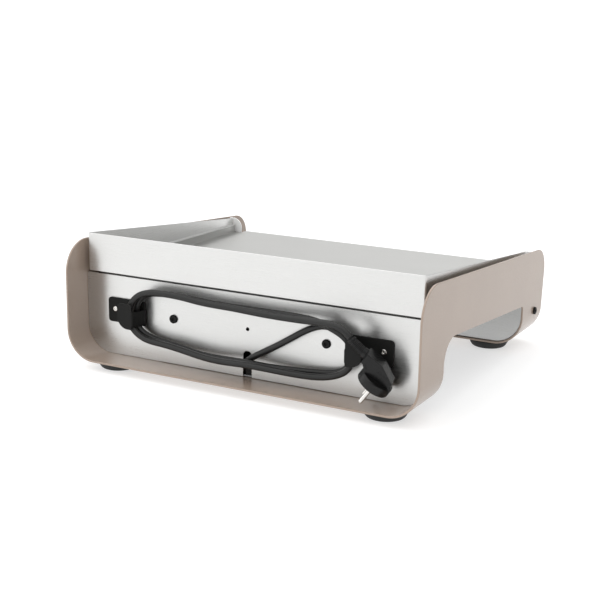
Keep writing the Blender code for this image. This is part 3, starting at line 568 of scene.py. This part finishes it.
# X, distance behind the rear panel's face, Z: through the keyhole, two turns round the brackets.
CORD_ROUTE = [
    (0.0000, -0.0135, 0.0185), (-0.0002, -0.0060, 0.0255), (-0.0010, 0.0010, 0.0312),
    (-0.0058, 0.0057, 0.0360), (-0.0150, 0.0066, 0.0420), (-0.0270, 0.0062, 0.0490),
    (-0.0450, 0.0062, 0.0597), (-0.0620, 0.0062, 0.0706), (-0.0800, 0.0063, 0.0812),
    (-0.0980, 0.0065, 0.0868), (-0.1150, 0.0068, 0.0842), (-0.1274, 0.0068, 0.0765),
    (-0.1322, 0.0068, 0.0630), (-0.1285, 0.0068, 0.0493), (-0.1160, 0.0068, 0.0400),
    (-0.0970, 0.0075, 0.0362), (-0.0700, 0.0090, 0.0345), (-0.0350, 0.0115, 0.0335),
    (-0.0030, 0.0136, 0.0345), (0.0300, 0.0120, 0.0335), (0.0570, 0.0092, 0.0336),
    (0.0840, 0.0074, 0.0370), (0.1110, 0.0068, 0.0403), (0.1305, 0.0068, 0.0450),
    (0.1425, 0.0068, 0.0550), (0.1440, 0.0068, 0.0675), (0.1412, 0.0068, 0.0800),
    (0.1320, 0.0069, 0.0903), (0.1150, 0.0070, 0.0946),
    (0.0900, 0.0070, 0.0955), (0.0520, 0.0070, 0.0936), (0.0060, 0.0072, 0.0930),
    (-0.0300, 0.0085, 0.0935), (-0.0680, 0.0115, 0.0943), (-0.0930, 0.0143, 0.0930),
    (-0.1130, 0.0154, 0.0872), (-0.1292, 0.0154, 0.0770), (-0.1348, 0.0154, 0.0625),
    (-0.1307, 0.0154, 0.0480), (-0.1165, 0.0154, 0.0380),
    (-0.1000, 0.0162, 0.0338), (-0.0740, 0.0180, 0.0325), (-0.0370, 0.0206, 0.0338),
    (-0.0050, 0.0224, 0.0345), (0.0260, 0.0210, 0.0332), (0.0520, 0.0182, 0.0340),
    (0.0790, 0.0162, 0.0370), (0.1060, 0.0155, 0.0395), (0.1260, 0.0154, 0.0420),
    (0.1405, 0.0154, 0.0500), (0.1478, 0.0154, 0.0625), (0.1465, 0.0154, 0.0765),
    (0.1375, 0.0154, 0.0890), (0.1220, 0.0154, 0.0962),
    (0.0990, 0.0156, 0.0980), (0.0780, 0.0156, 0.0973), (0.0520, 0.0158, 0.0950),
    (0.0100, 0.0165, 0.0940), (-0.0240, 0.0182, 0.0932), (-0.0600, 0.0207, 0.0935),
    (-0.0870, 0.0236, 0.0948), (-0.1040, 0.0265, 0.0962), (-0.1190, 0.0288, 0.0960),
    (-0.1310, 0.0296, 0.0925),
]
PLUG_AT = Vector((-0.1611, 0.1865, 0.0364))
PLUG_PIN_WAY = Vector((0.577, 0.043, -0.814)).normalized()
PLUG_LEAD_WAY = Vector((-0.782, -0.255, -0.567)).normalized()
PLUG_INLET = (-0.0245, 0.0246)  # along the lead's way, and above the pin face
RELIEF_LENGTH = 0.022
RELIEF_START_WAY = Vector((-0.673, 0.0, -0.739)).normalized()
PIN_LENGTH = 0.019
LEAD_END_GAP = 4 * GAP  # between the lead and its strain relief
PIN_SPACING = 0.019


def plug_axes():
    up = -PLUG_PIN_WAY
    along = (PLUG_LEAD_WAY - PLUG_LEAD_WAY.dot(up) * up).normalized()
    return along, up.cross(along).normalized(), up


def relief_points():
    along, _, up = plug_axes()
    points = [PLUG_AT + along * (PLUG_INLET[0] - GAP) + up * PLUG_INLET[1]]
    steps = 6
    for i in range(steps):
        way = along.lerp(RELIEF_START_WAY, (i + 0.5) / steps).normalized()
        points.append(points[-1] - way * RELIEF_LENGTH / steps)
    return list(reversed(points))


def make_strain_relief():
    """A tapered sleeve with five ribs and a plain collar at the plug."""
    count = 110
    line = smooth_line(relief_points(), count)
    radii = []
    for i in range(count + 1):
        share = i / count
        full = 0.0046 + 0.0013 * share
        wave = math.sin(2 * math.pi * (share * 7.0))
        groove = 1 / (1 + math.exp(-9 * (wave - 0.15)))
        radii.append(full - (0.0013 * groove if 0.07 < share < 0.80 else 0.0))
    bm = baked(tube("relief", line, radii, 7))
    return piece(to_object("strain_relief_ribbed", bm), "casing", "black_plastic", ["strain_relief"], 50)


def make_plug():
    along, across, up = plug_axes()
    place = Matrix.Translation(PLUG_AT) @ Matrix((along, across, up)).transposed().to_4x4()
    profile = [(0.0150, 0.0), (0.0152, 0.0006), (0.0176, 0.0006), (0.0182, 0.0009), (0.0185, 0.0015)]
    profile += [(0.0185, 0.0090), (0.0182, 0.0103), (0.0176, 0.0110)]
    disc = lathe("plug_disc", profile, place, 64)
    inlet, height = PLUG_INLET
    outline = [
        (inlet, height - 0.0060, 0.0006), (inlet, height + 0.0050, 0.0008), (-0.0045, 0.0285, 0.0020),
        (0.0140, 0.0185, 0.0015), (0.0178, 0.0060, 0.0006), (-0.0178, 0.0060, 0.0006),
        (-0.0185, 0.0140, 0.0010),
    ]
    body = slab("plug_side", "XZ", [rounded(outline, 4)], -0.0095, 0.0095, 0.0006)
    middle = Vector((-0.0035, 0.0185))
    inner = []
    for a, b, radius in outline:
        pulled = middle + (Vector((a, b)) - middle) * 0.80
        inner.append((pulled.x, pulled.y, max(radius, 0.0012)))
    for side in (-1, 1):
        low, high = sorted((side * 0.0087, side * 0.0150))
        cutter = slab("grip_panel", "XZ", [rounded(inner, 6)], low, high, 0.0002)
        body = boolean(body, cutter, "DIFFERENCE")
    ribs = []
    for side in (-1, 1):
        for i in range(4):
            a = -0.0050 + 0.0036 * i
            low, high = sorted((side * 0.0085, side * 0.0093))
            bar = [(a, 0.0120, 0.0006), (a + 0.0014, 0.0120, 0.0006), (a + 0.0014, 0.0205, 0.0006),
                   (a, 0.0205, 0.0006)]
            ribs.append(slab("grip_rib", "XZ", [rounded(bar, 4)], low, high, 0.0003))
    body = joined("plug_side", [body] + ribs)
    body.data.transform(place)
    plug = joined("plug_body_moulded", [disc, body])
    pins = []
    for sign, word in ((-1, "near"), (1, "far")):
        radius, tip = 0.0024, 0.0009
        shape = [(radius, -GAP), (radius, tip * 1.5 - PIN_LENGTH)]
        shape += [(radius - tip * (1 - math.cos(a)), tip * 1.5 - PIN_LENGTH - tip * 1.5 * math.sin(a))
                  for a in [math.pi / 2 * i / 5 for i in range(1, 6)]]
        aside = Matrix.Translation((0, sign * PIN_SPACING / 2, 0))
        pin = lathe(f"plug_pin_{word}_turned", shape, place @ aside, 32)
        pins.append(piece(pin, "casing", "nickel", [f"plug_pin_{word}"]))
    return [piece(plug, "casing", "black_plastic", ["plug_body"])] + pins


def make_lead():
    relief = make_strain_relief()
    on_lead = [relief] + make_plug()
    route = [Vector((x, REAR_FACE + out, z)) for x, out, z in CORD_ROUTE]
    route.append(relief_points()[0] - RELIEF_START_WAY * LEAD_END_GAP)
    line = smooth_line(route, 620)
    lead = piece(tube("mains_lead", line, CORD_RADIUS, 7), "casing", "cord_rubber", ["cord"])


make_lead()


# ---- cradle and casing ----------------------------------------------------------------------------
SIDE_TOP_REAR = 0.1494
SIDE_TOP_FRONT = 0.121
KEYHOLE_HALF = 0.0055
KEYHOLE_TOP = 0.0430
PLATE_FACE = 0.1055
GUARD_TOP_FRONT = 0.1240
ARCH_FRONT = -0.120
ARCH_REAR = 0.1376


def make_cradle():
    """One sheet, cut to shape flat and folded up at both sides."""
    low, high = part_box("cradle")
    half, floor_z, rear, front = high.x, low.z, high.y, low.y + 0.0019
    middle_radius = BEND - SHEET / 2
    top = 0.17
    straight = top - floor_z - BEND
    bend_length = middle_radius * math.pi / 2
    path = [(straight, 90, middle_radius), (2 * (half - BEND), 90, middle_radius), (straight, 0, 0)]
    total = 2 * straight + 2 * bend_length + 2 * (half - BEND)

    def along(z):
        """Distance along the left side's line down to a height."""
        if z >= floor_z + BEND:
            return top - z
        return straight + middle_radius * math.asin((floor_z + BEND - z) / middle_radius)

    def arch_z(y):
        return 0.0821 + 0.079 * (y - 0.1376)

    outer = [(rear, along(SIDE_TOP_REAR), 0.036), (front - 0.0019, along(SIDE_TOP_FRONT), 0.029),
             (front + 0.006, along(0.030), 0)]
    outer += [(y, total - s, r) for y, s, r in reversed(outer)]
    hole = [(ARCH_FRONT, along(arch_z(ARCH_FRONT)), 0.0045), (ARCH_REAR, along(arch_z(ARCH_REAR)), 0.027)]
    hole += [(y, total - s, r) for y, s, r in reversed(hole)]
    obj = bent(
        "cradle_sheet", [rounded(outer, 24), rounded(hole, 16)], path, (SHEET / 2 - half, top), -90,
        lambda a, u, v: (u, a, v), SHEET, 0.0007, 18,
    )
    piece(obj, "casing", "taupe_paint", ["cradle"], 30)


def make_rear_panel():
    low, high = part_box("rear_panel")
    half, bend = high.x, BEND - SHEET - 0.0005
    slot, slot_top = KEYHOLE_HALF, KEYHOLE_TOP
    keyhole = [(slot, low.z)] + arc((0, slot_top - slot), slot, 0, 180, 20) + [(-slot, low.z)]
    corners = [(half, high.z, 0.002), (-half, high.z, 0.002), (-half, low.z, bend)]
    corners += [(x, z, 0) for x, z in reversed(keyhole)] + [(half, low.z, bend)]
    holes = [circle((0, 0.068), 0.0021, 24)]
    for node in ("rear_screw_left", "rear_screw_right", "bracket_screw_left", "bracket_screw_right"):
        a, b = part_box(node)
        holes.append(circle(((a.x + b.x) / 2, (a.z + b.z) / 2), 0.0022, 16))
    obj = slab("rear_panel_sheet", "XZ", [rounded(corners, 16)] + holes, low.y, high.y, 0.0003)
    piece(obj, "casing", "brushed_steel", ["rear_panel"])


def make_control_box_wall():
    low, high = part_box("control_box_rear_wall")
    half, bend = high.x, BEND - SHEET - 0.0005
    corners = [(half, high.z, 0.002), (-half, high.z, 0.002), (-half, low.z, bend), (half, low.z, bend)]
    obj = slab("control_box_wall_sheet", "XZ", [rounded(corners, 16)], low.y, high.y, 0.0003)
    piece(obj, "casing", "brushed_steel", ["control_box_rear_wall"])


def make_fascia():
    """Front, sloping top and lip folded from one sheet, with end flanges and rounded ears."""
    low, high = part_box("front_fascia")
    half = high.x
    face = low.y
    middle = THIN / 2
    front_top, lip_z, lip_y = 0.0820, 0.0980, -0.1540
    slope = math.atan2(lip_z - front_top, lip_y - face)
    slope_length = math.hypot(lip_z - front_top, lip_y - face)
    radius = 0.0020
    turn_a, turn_b = math.degrees(slope) - 90, -math.degrees(slope)
    cut_a = radius * math.tan(math.radians(-turn_a) / 2)
    cut_b = radius * math.tan(math.radians(-turn_b) / 2)
    up = front_top - middle * 0.6 - low.z - cut_a
    path = [(up, turn_a, radius), (slope_length - cut_a - cut_b, turn_b, radius), (0.0040, 0, 0)]
    bend_a = radius * math.radians(-turn_a)
    total = up + bend_a + slope_length - cut_a - cut_b + radius * math.radians(-turn_b) + 0.0040
    corners = [(-half, 0, 0.033), (half, 0, 0.033), (half, total, 0.001), (-half, total, 0.001)]
    tray_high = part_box("drip_tray")[1]
    mouth_x = tray_high.x - 0.0050
    mouth = [(-mouth_x, 0.0225 - low.z, 0.002), (mouth_x, 0.0225 - low.z, 0.002),
             (mouth_x, 0.0575 - low.z, 0.002), (-mouth_x, 0.0575 - low.z, 0.002)]
    knob_low, knob_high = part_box("thermostat_knob")
    lamp_low, lamp_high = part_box("pilot_lamp")
    knob_at = ((knob_low.x + knob_high.x) / 2, (knob_low.z + knob_high.z) / 2 - low.z)
    lamp_at = ((lamp_low.x + lamp_high.x) / 2, (lamp_low.z + lamp_high.z) / 2 - low.z)
    juice_low = up + bend_a + 0.0050
    juice = [(-0.100, juice_low, 0.004), (0.100, juice_low, 0.004), (0.100, juice_low + 0.0150, 0.004),
             (-0.100, juice_low + 0.0150, 0.004)]
    holes = [rounded(mouth, 4), circle(knob_at, 0.0045, 24), circle(lamp_at, 0.0043, 24), rounded(juice, 6)]
    front = bent(
        "fascia_front", [rounded(corners, 16)] + holes, path, (face + middle, low.z), 90,
        lambda a, u, v: (a, u, v), THIN, 0.0003, 6,
    )
    parts, ears = [front], []
    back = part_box("control_box_rear_wall")[0].y - GAP
    for side in (-1, 1):
        flange = [(back, 0.0480, 0.001), (back, 0.0862, 0.001), (-0.1500, 0.0968, 0.001),
                  (-0.1540, 0.0968, 0.001), (face + 0.0014, 0.0808, 0.001), (face + 0.0014, 0.0480, 0.001)]
        outer = side * half
        a, b = sorted((outer, outer - side * THIN))
        parts.append(slab("fascia_flange", "YZ", [rounded(flange, 3)], a, b, 0.0002))
        inner = side * 0.1970
        ear = [(inner, 0.0955, 0.0005), (inner, 0.1240, 0.013), (outer - side * 0.0004, 0.1240, 0.002),
               (outer - side * 0.0004, 0.0955, 0.0005)]
        ears.append(slab("fascia_ear", "XZ", [rounded(ear, 16)], -0.1520, -0.1505, 0.0004))
    piece(joined("fascia_shell", parts), "casing", "brushed_steel", ["front_fascia"], 30)
    ends = piece(joined("fascia_ears", ears), "casing", "brushed_steel", ["front_fascia"], 30)
    # The ears take the near-white steel copy: a painted highlight, not a different finish of the metal.
    ends.data.materials[0] = MATERIALS["steel_with_painted_highlight"]


# ---- plate and guard ------------------------------------------------------------------------------
def u_ring(half, rear, front, radius, steps=6):
    """Plan points of a U open to the front, its two rear corners rounded."""
    line = [(-half, front)]
    line += arc((-half + radius, rear - radius), radius, 180, 90, steps)
    line += arc((half - radius, rear - radius), radius, 90, 0, steps)
    return line + [(half, front)]


def wall_along_u(name, edges):
    """A body swept round a U; edges is its section as (half, rear, front, radius, height of y)."""
    lines = [(u_ring(half, rear, front, radius), height) for half, rear, front, radius, height in edges]
    count = len(lines[0][0])
    sections = []
    for i in range(count):
        sections.append([(line[i][0], line[i][1], height(line[i][1])) for line, height in lines])
    return loft(name, sections)


def flat(z):
    return lambda y: z


def make_plate():
    low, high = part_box("hot_plate")
    half, rear, front = high.x, high.y, low.y
    face = PLATE_FACE
    notch_y, notch_x = -0.1490, 0.1960
    outline = [
        (half, rear, 0.004), (-half, rear, 0.004),
        (-half, notch_y, 0.0005), (-notch_x, notch_y - 0.0005, 0.0005),
        (-notch_x, front, 0.003), (notch_x, front, 0.003), (notch_x, notch_y - 0.0005, 0.0005),
        (half, notch_y, 0.0005),
    ]
    base = slab("plate_base", "XY", [rounded(outline, 8)], low.z, face, 0.0008)
    wall = 0.0015
    rim = wall_along_u("plate_rim", [
        (half, rear, notch_y, 0.004, flat(face - 0.0012)),
        (half, rear, notch_y, 0.004, flat(high.z - 0.0005)),
        (half - 0.0002, rear - 0.0002, notch_y, 0.0038, flat(high.z - 0.0001)),
        (half - 0.0006, rear - 0.0006, notch_y, 0.0034, flat(high.z)),
        (half - wall + 0.0003, rear - wall + 0.0003, notch_y, 0.0028, flat(high.z - 0.0001)),
        (half - wall, rear - wall, notch_y, 0.0025, flat(high.z - 0.0005)),
        (half - wall, rear - wall, notch_y, 0.0025, flat(face + 0.0010)),
        (half - wall - 0.0003, rear - wall - 0.0003, notch_y, 0.0022, flat(face + 0.0003)),
        (half - wall - 0.0010, rear - wall - 0.0010, notch_y, 0.0016, flat(face)),
        (half - wall - 0.0010, rear - wall - 0.0010, notch_y, 0.0016, flat(face - 0.0012)),
    ])
    piece(joined("plate_with_rim", [base, rim]), "casing", "plate_steel", ["hot_plate"], 30)


def make_guard():
    low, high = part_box("splash_guard")
    half, rear, front = high.x, high.y, low.y
    plate_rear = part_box("hot_plate")[1].y
    rim_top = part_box("hot_plate")[1].z
    top_rear, top_front = high.z, GUARD_TOP_FRONT
    wall_start = rear - 0.006

    def top(y):
        share = min(1.0, max(0.0, (y - front) / (wall_start - front)))
        return top_front + (top_rear - top_front) * share

    def edge(drop):
        return lambda y: top(y) - drop

    inset = 0.0050
    ledge_rear = plate_rear - 0.0025
    wall = THIN
    sections = [
        (half, rear, 0.0022, flat(low.z + 0.0002)),
        (half, rear, 0.0022, edge(0.0004)),
        (half - 0.0002, rear - 0.0002, 0.0020, edge(0.0001)),
        (half - wall / 2, rear - wall / 2, 0.0016, edge(0.0)),
        (half - wall + 0.0002, rear - wall + 0.0002, 0.0012, edge(0.0001)),
        (half - wall, rear - wall, 0.0010, edge(0.0004)),
        (half - wall, rear - wall, 0.0010, flat(rim_top + 0.0020)),
        (half - wall - 0.0006, rear - wall - 0.0006, 0.0006, flat(rim_top + 0.0014)),
        (half - inset + 0.0002, ledge_rear + 0.0002, 0.0006, flat(rim_top + 0.0014)),
        (half - inset, ledge_rear, 0.0005, flat(rim_top + 0.0011)),
        (half - inset, ledge_rear, 0.0005, flat(rim_top + 0.0005)),
        (half - inset + 0.0002, ledge_rear + 0.0002, 0.0006, flat(rim_top + GAP)),
        (half - wall, rear - wall, 0.0010, flat(rim_top + GAP)),
        (half - wall, rear - wall, 0.0010, flat(low.z + 0.0002)),
        (half - wall + 0.0002, rear - wall + 0.0002, 0.0012, flat(low.z)),
        (half - 0.0002, rear - 0.0002, 0.0020, flat(low.z)),
    ]
    obj = wall_along_u("guard_sheet", [(h, r, front, radius, z) for h, r, radius, z in sections])
    piece(obj, "guard", "brushed_steel", ["splash_guard"], 30)


# ---- small hardware -------------------------------------------------------------------------------
def socket_screw(name, node, head_radius, head, socket, depth, way, body, slot):
    """A round-headed screw with a hexagon socket; its head stands on the face below it."""
    low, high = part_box(node)
    axis = max(range(3), key=lambda i: abs(way[i]))
    at = (low + high) / 2
    at[axis] = high[axis] if way[axis] > 0 else low[axis]
    place = facing(at, way)
    inside = hexagon(socket)
    profile = [(0.0004, -depth - 0.0004), (inside, -depth), (inside, -0.0002)]
    profile += [(socket * 1.22, 0.0)]
    profile += round_over(head_radius, 0.0, head * 0.55, 6)
    profile += [(head_radius, -head), (head_radius * 0.45, -head)]
    shank = (high - low)[axis]
    profile += [(head_radius * 0.45, -shank + 0.0004), (head_radius * 0.36, -shank)]
    obj = lathe(name, profile, place, 48)
    return piece(obj, body, slot, [node], 40)


def make_screws():
    for word, side in (("left", -1), ("right", 1)):
        socket_screw(f"rear_bolt_{word}", f"rear_screw_{word}", 0.0050, 0.0019, 0.0018, 0.0014, (0, 1, 0),
                     "casing", "black_metal")
        socket_screw(f"side_bolt_{word}", f"side_screw_{word}", 0.0047, 0.0023, 0.0018, 0.0016,
                     (side, 0, 0), "casing", "black_metal")
        socket_screw(f"bracket_bolt_{word}", f"bracket_screw_{word}", 0.0030, 0.0015, 0.0014, 0.0012,
                     (0, 1, 0), "casing", "nickel")


def make_feet():
    for node in [n for n in frame["nodes"] if n.startswith("foot_") and "screw" not in n]:
        low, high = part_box(node)
        radius = (high.x - low.x) / 2
        place = Matrix.Translation(((low.x + high.x) / 2, (low.y + high.y) / 2, 0))
        top = high.z
        profile = [(0.0026, top), (radius - 0.0014, top)]
        profile += [(r, z) for r, z in round_over(radius, top, 0.0011, 5)[1:]]
        profile += [(radius - 0.0002, 0.0070), (radius - 0.0010, 0.0054), (radius - 0.0022, 0.0030)]
        profile += [(radius - 0.0034, 0.0015), (radius - 0.0045, 0.0006), (radius - 0.0060, 0.0)]
        profile += [(radius - 0.0084, 0.0), (radius - 0.0088, 0.0005), (radius - 0.0098, 0.0005),
                    (radius - 0.0102, 0.0)]
        profile += [(0.0064, 0.0), (0.0056, 0.0006), (0.0056, 0.0050), (0.0026, 0.0050)]
        rings = lathe(f"{node}_pad", profile + [profile[0]], place, 72)
        bm = bmesh.new()
        bm.from_mesh(rings.data)
        bmesh.ops.delete(bm, geom=[f for f in bm.faces if len(f.verts) > 4], context="FACES_ONLY")
        bmesh.ops.remove_doubles(bm, verts=bm.verts, dist=1e-7)
        bmesh.ops.recalc_face_normals(bm, faces=bm.faces)
        bm.to_mesh(rings.data)
        bm.free()
        piece(rings, "casing", "black_rubber", [node], 40)


def make_brackets():
    """Hooks folded from sheet: base on the panel, web standing off it, D-shaped lip."""
    sheet = 0.0016
    for word, side, web_low, web_high in (("left", -1, -0.0110, 0.0030), ("right", 1, -0.0110, 0.0055)):
        low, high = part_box(f"cord_bracket_{word}")
        middle_z = high.z - 0.0145
        outer = high.x if side > 0 else low.x
        base_length, lip_length = 0.0530, 0.0205
        inner_u = -base_length  # along the outward axis from the plate's outer end
        corner_u = inner_u + 0.0010
        base_y, lip_y = low.y + sheet / 2, high.y - sheet / 2
        lean = 0.0053
        web = math.hypot(lean, lip_y - base_y)
        web_heading = math.degrees(math.atan2(lip_y - base_y, lean))
        turn_a, turn_b = web_heading - 180, -web_heading
        radius = 0.0016
        cut_a = radius * math.tan(math.radians(-turn_a) / 2)
        cut_b = radius * math.tan(math.radians(-turn_b) / 2)
        base = -corner_u - cut_a
        lip = lip_length - 0.0008 - cut_b
        path = [(base, turn_a, radius), (web - cut_a - cut_b, turn_b, radius), (lip, 0, 0)]
        bend_a, bend_b = radius * math.radians(-turn_a), radius * math.radians(-turn_b)
        web_end = base + bend_a + web - cut_a - cut_b
        s_web = base + bend_a * 0.35
        s_lip = web_end + bend_b * 0.65
        end = web_end + bend_b + lip
        z = middle_z
        outline = [
            (z - 0.0145, 0, 0.004), (z - 0.0145, s_web, 0.001), (z + web_low, s_web, 0.001),
            (z + web_low, s_lip, 0.001), (z - 0.0150, s_lip, 0.001), (z - 0.0150, end, 0.0135),
            (z + 0.0145, end, 0.0045), (z + 0.0145, s_lip, 0.001), (z + web_high, s_lip, 0.001),
            (z + web_high, s_web, 0.001), (z + 0.0145, s_web, 0.001), (z + 0.0145, 0, 0.004),
        ]
        obj = bent(
            f"cord_hook_{word}", [rounded(outline, 8)], path, (0.0, base_y), 180,
            lambda a, u, v: (outer + side * u, v, a), sheet, 0.0003, 8,
        )
        piece(obj, "casing", "black_metal", [f"cord_bracket_{word}"], 35)


# ---- front controls -------------------------------------------------------------------------------
def make_knob():
    low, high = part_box("thermostat_knob")
    centre = (low + high) / 2
    back, front = high.y, low.y
    place = facing((centre.x, back, centre.z), (0, -1, 0))
    radius = (high.x - low.x) / 2
    tall = back - front - 0.0015

    def fluted(outer, depth):
        return lambda angle: outer - depth * (0.5 - 0.5 * math.cos(24 * angle)) ** 2

    profile = [(0.0033, 0.0), (radius - 0.0006, 0.0), (radius, 0.0006), (radius, 0.0016)]
    profile += [(radius - 0.0005, 0.0022)]
    profile += [(fluted(0.0198, 0.0008), 0.0026), (fluted(0.0186, 0.0009), tall - 0.0026),
                (fluted(0.0180, 0.0007), tall - 0.0012), (fluted(0.0172, 0.0003), tall - 0.0003)]
    profile += [(0.0162, tall), (0.0150, tall), (0.0146, tall - 0.0004), (0.0001, tall - 0.0005)]
    cap = lathe("knob_cap", profile, place, 192)
    grip = [(-0.0022, -0.0150, 0.0021), (0.0022, -0.0150, 0.0021), (0.0022, 0.0150, 0.0021),
            (-0.0022, 0.0150, 0.0021)]
    outline = [(centre.x + x, centre.z + z) for x, z in rounded(grip, 6)]
    bar = slab("knob_bar", "XZ", [outline], front + 0.0001, front + 0.0030, 0.0006)
    piece(joined("control_knob", [cap, bar]), "knob", "black_plastic", ["thermostat_knob"], 40)
    mark = [(-0.0006, 0.0080, 0.0005), (0.0006, 0.0080, 0.0005), (0.0006, 0.0145, 0.0005),
            (-0.0006, 0.0145, 0.0005)]
    outline = [(centre.x + x, centre.z + z) for x, z in rounded(mark, 4)]
    pointer = slab("knob_pointer", "XZ", [outline], front, front + 0.0004, 0.0001)
    pointer.data.materials.append(MATERIALS["white_plastic"])
    shade(pointer)
    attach(pointer, "knob")


def make_lamp():
    low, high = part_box("pilot_lamp")
    centre = (low + high) / 2
    place = facing((centre.x, low.y, centre.z), (0, -1, 0))
    profile = [(0.0001, 0.0)] + [(0.0036 * math.sin(a), -0.0016 * (1 - math.cos(a)))
                                 for a in [math.pi / 2 * i / 8 for i in range(1, 9)]]
    profile += [(0.0046, -0.0016), (0.0052, -0.0013), (0.0055, -0.0017), (0.0055, -0.0019), (0.0040, -0.0019)]
    profile += [(0.0040, low.y - high.y + 0.0006), (0.0036, low.y - high.y)]
    obj = lathe("pilot_lens", profile, place, 40)
    piece(obj, "casing", "red_lens", ["pilot_lamp"], 40)


def box_rings(low, high, radius, z_inset, steps=5):
    """Plan outline of a rounded rectangle between two corners, with an inset."""
    corners = [(low.x + z_inset, low.y + z_inset, radius), (high.x - z_inset, low.y + z_inset, radius),
               (high.x - z_inset, high.y - z_inset, radius), (low.x + z_inset, high.y - z_inset, radius)]
    return rounded(corners, steps)


def make_tray():
    low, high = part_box("drip_tray")
    back_half = high.x - 0.0060
    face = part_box("front_fascia")[0].y - GAP
    pan_low = Vector((-back_half, face - 0.0003, 0.024))
    pan_high = Vector((back_half, high.y, 0.056))
    wall = 0.0010
    rings = []
    for inset, z, radius in (
        (0.0015, pan_low.z, 0.0025), (0.0003, pan_low.z + 0.0006, 0.0036), (0.0, pan_low.z + 0.0018, 0.0040),
        (0.0, pan_high.z - 0.0003, 0.0040), (0.0003, pan_high.z, 0.0037), (wall - 0.0003, pan_high.z, 0.0033),
        (wall, pan_high.z - 0.0003, 0.0030), (wall, pan_low.z + 0.0026, 0.0030),
        (wall + 0.0004, pan_low.z + 0.0015, 0.0026), (wall + 0.0016, pan_low.z + 0.0010, 0.0016),
    ):
        rings.append([(x, y, z) for x, y in box_rings(pan_low, pan_high, radius, inset)])
    pan = loft("tray_pan", rings)
    front_low, front_top = 0.0195, 0.0605
    front = [(-high.x, front_low, 0.003), (high.x, front_low, 0.003),
             (high.x, front_top, 0.003), (-high.x, front_top, 0.003)]
    plate = slab("tray_front", "XZ", [rounded(front, 8)], low.y, face, 0.0005)
    piece(joined("tray_pressed", [pan, plate]), "tray", "brushed_steel", ["drip_tray"], 30)
    low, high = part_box("drip_tray_handle")
    radius = 0.0030
    z = (low.z + high.z) / 2
    outer, inner = low.y + radius, high.y
    half = high.x - radius
    bend = 0.0080
    line = [(-half, inner, z), (-half, outer + bend, z)]
    line += [(x, y, z) for x, y in arc((-half + bend, outer + bend), bend, 180, 270, 10)[1:]]
    line += [(x, y, z) for x, y in arc((half - bend, outer + bend), bend, 270, 360, 10)]
    line.append((half, inner, z))
    bar = to_object("tray_pull", baked(tube("pull", line, radius, 6)))
    collars = [lathe("collar", [(0.0042, 0.0), (0.0042, 0.0008), (0.0036, 0.0014), (0.0029, 0.0014)],
                     facing((x, inner, z), (0, -1, 0)), 32) for x in (-half, half)]
    piece(joined("tray_pull_bar", [bar] + collars), "tray", "nickel", ["drip_tray_handle"], 40)


def dress_inner_nodes():
    """Inner pieces keep their CAD shape and take their slot's material."""
    slots = {part["node"]: part["material_slot"] for part in frame["record"]["subparts"]}
    for name, node in frame["nodes"].items():
        if not node.hide_render:
            node.data.materials.clear()
            node.data.materials.append(MATERIALS[slots[name]])


make_cradle()
make_rear_panel()
make_control_box_wall()
make_fascia()
make_plate()
make_guard()
make_screws()
make_feet()
make_brackets()
make_knob()
make_lamp()
make_tray()
dress_inner_nodes()
floor()
studio()
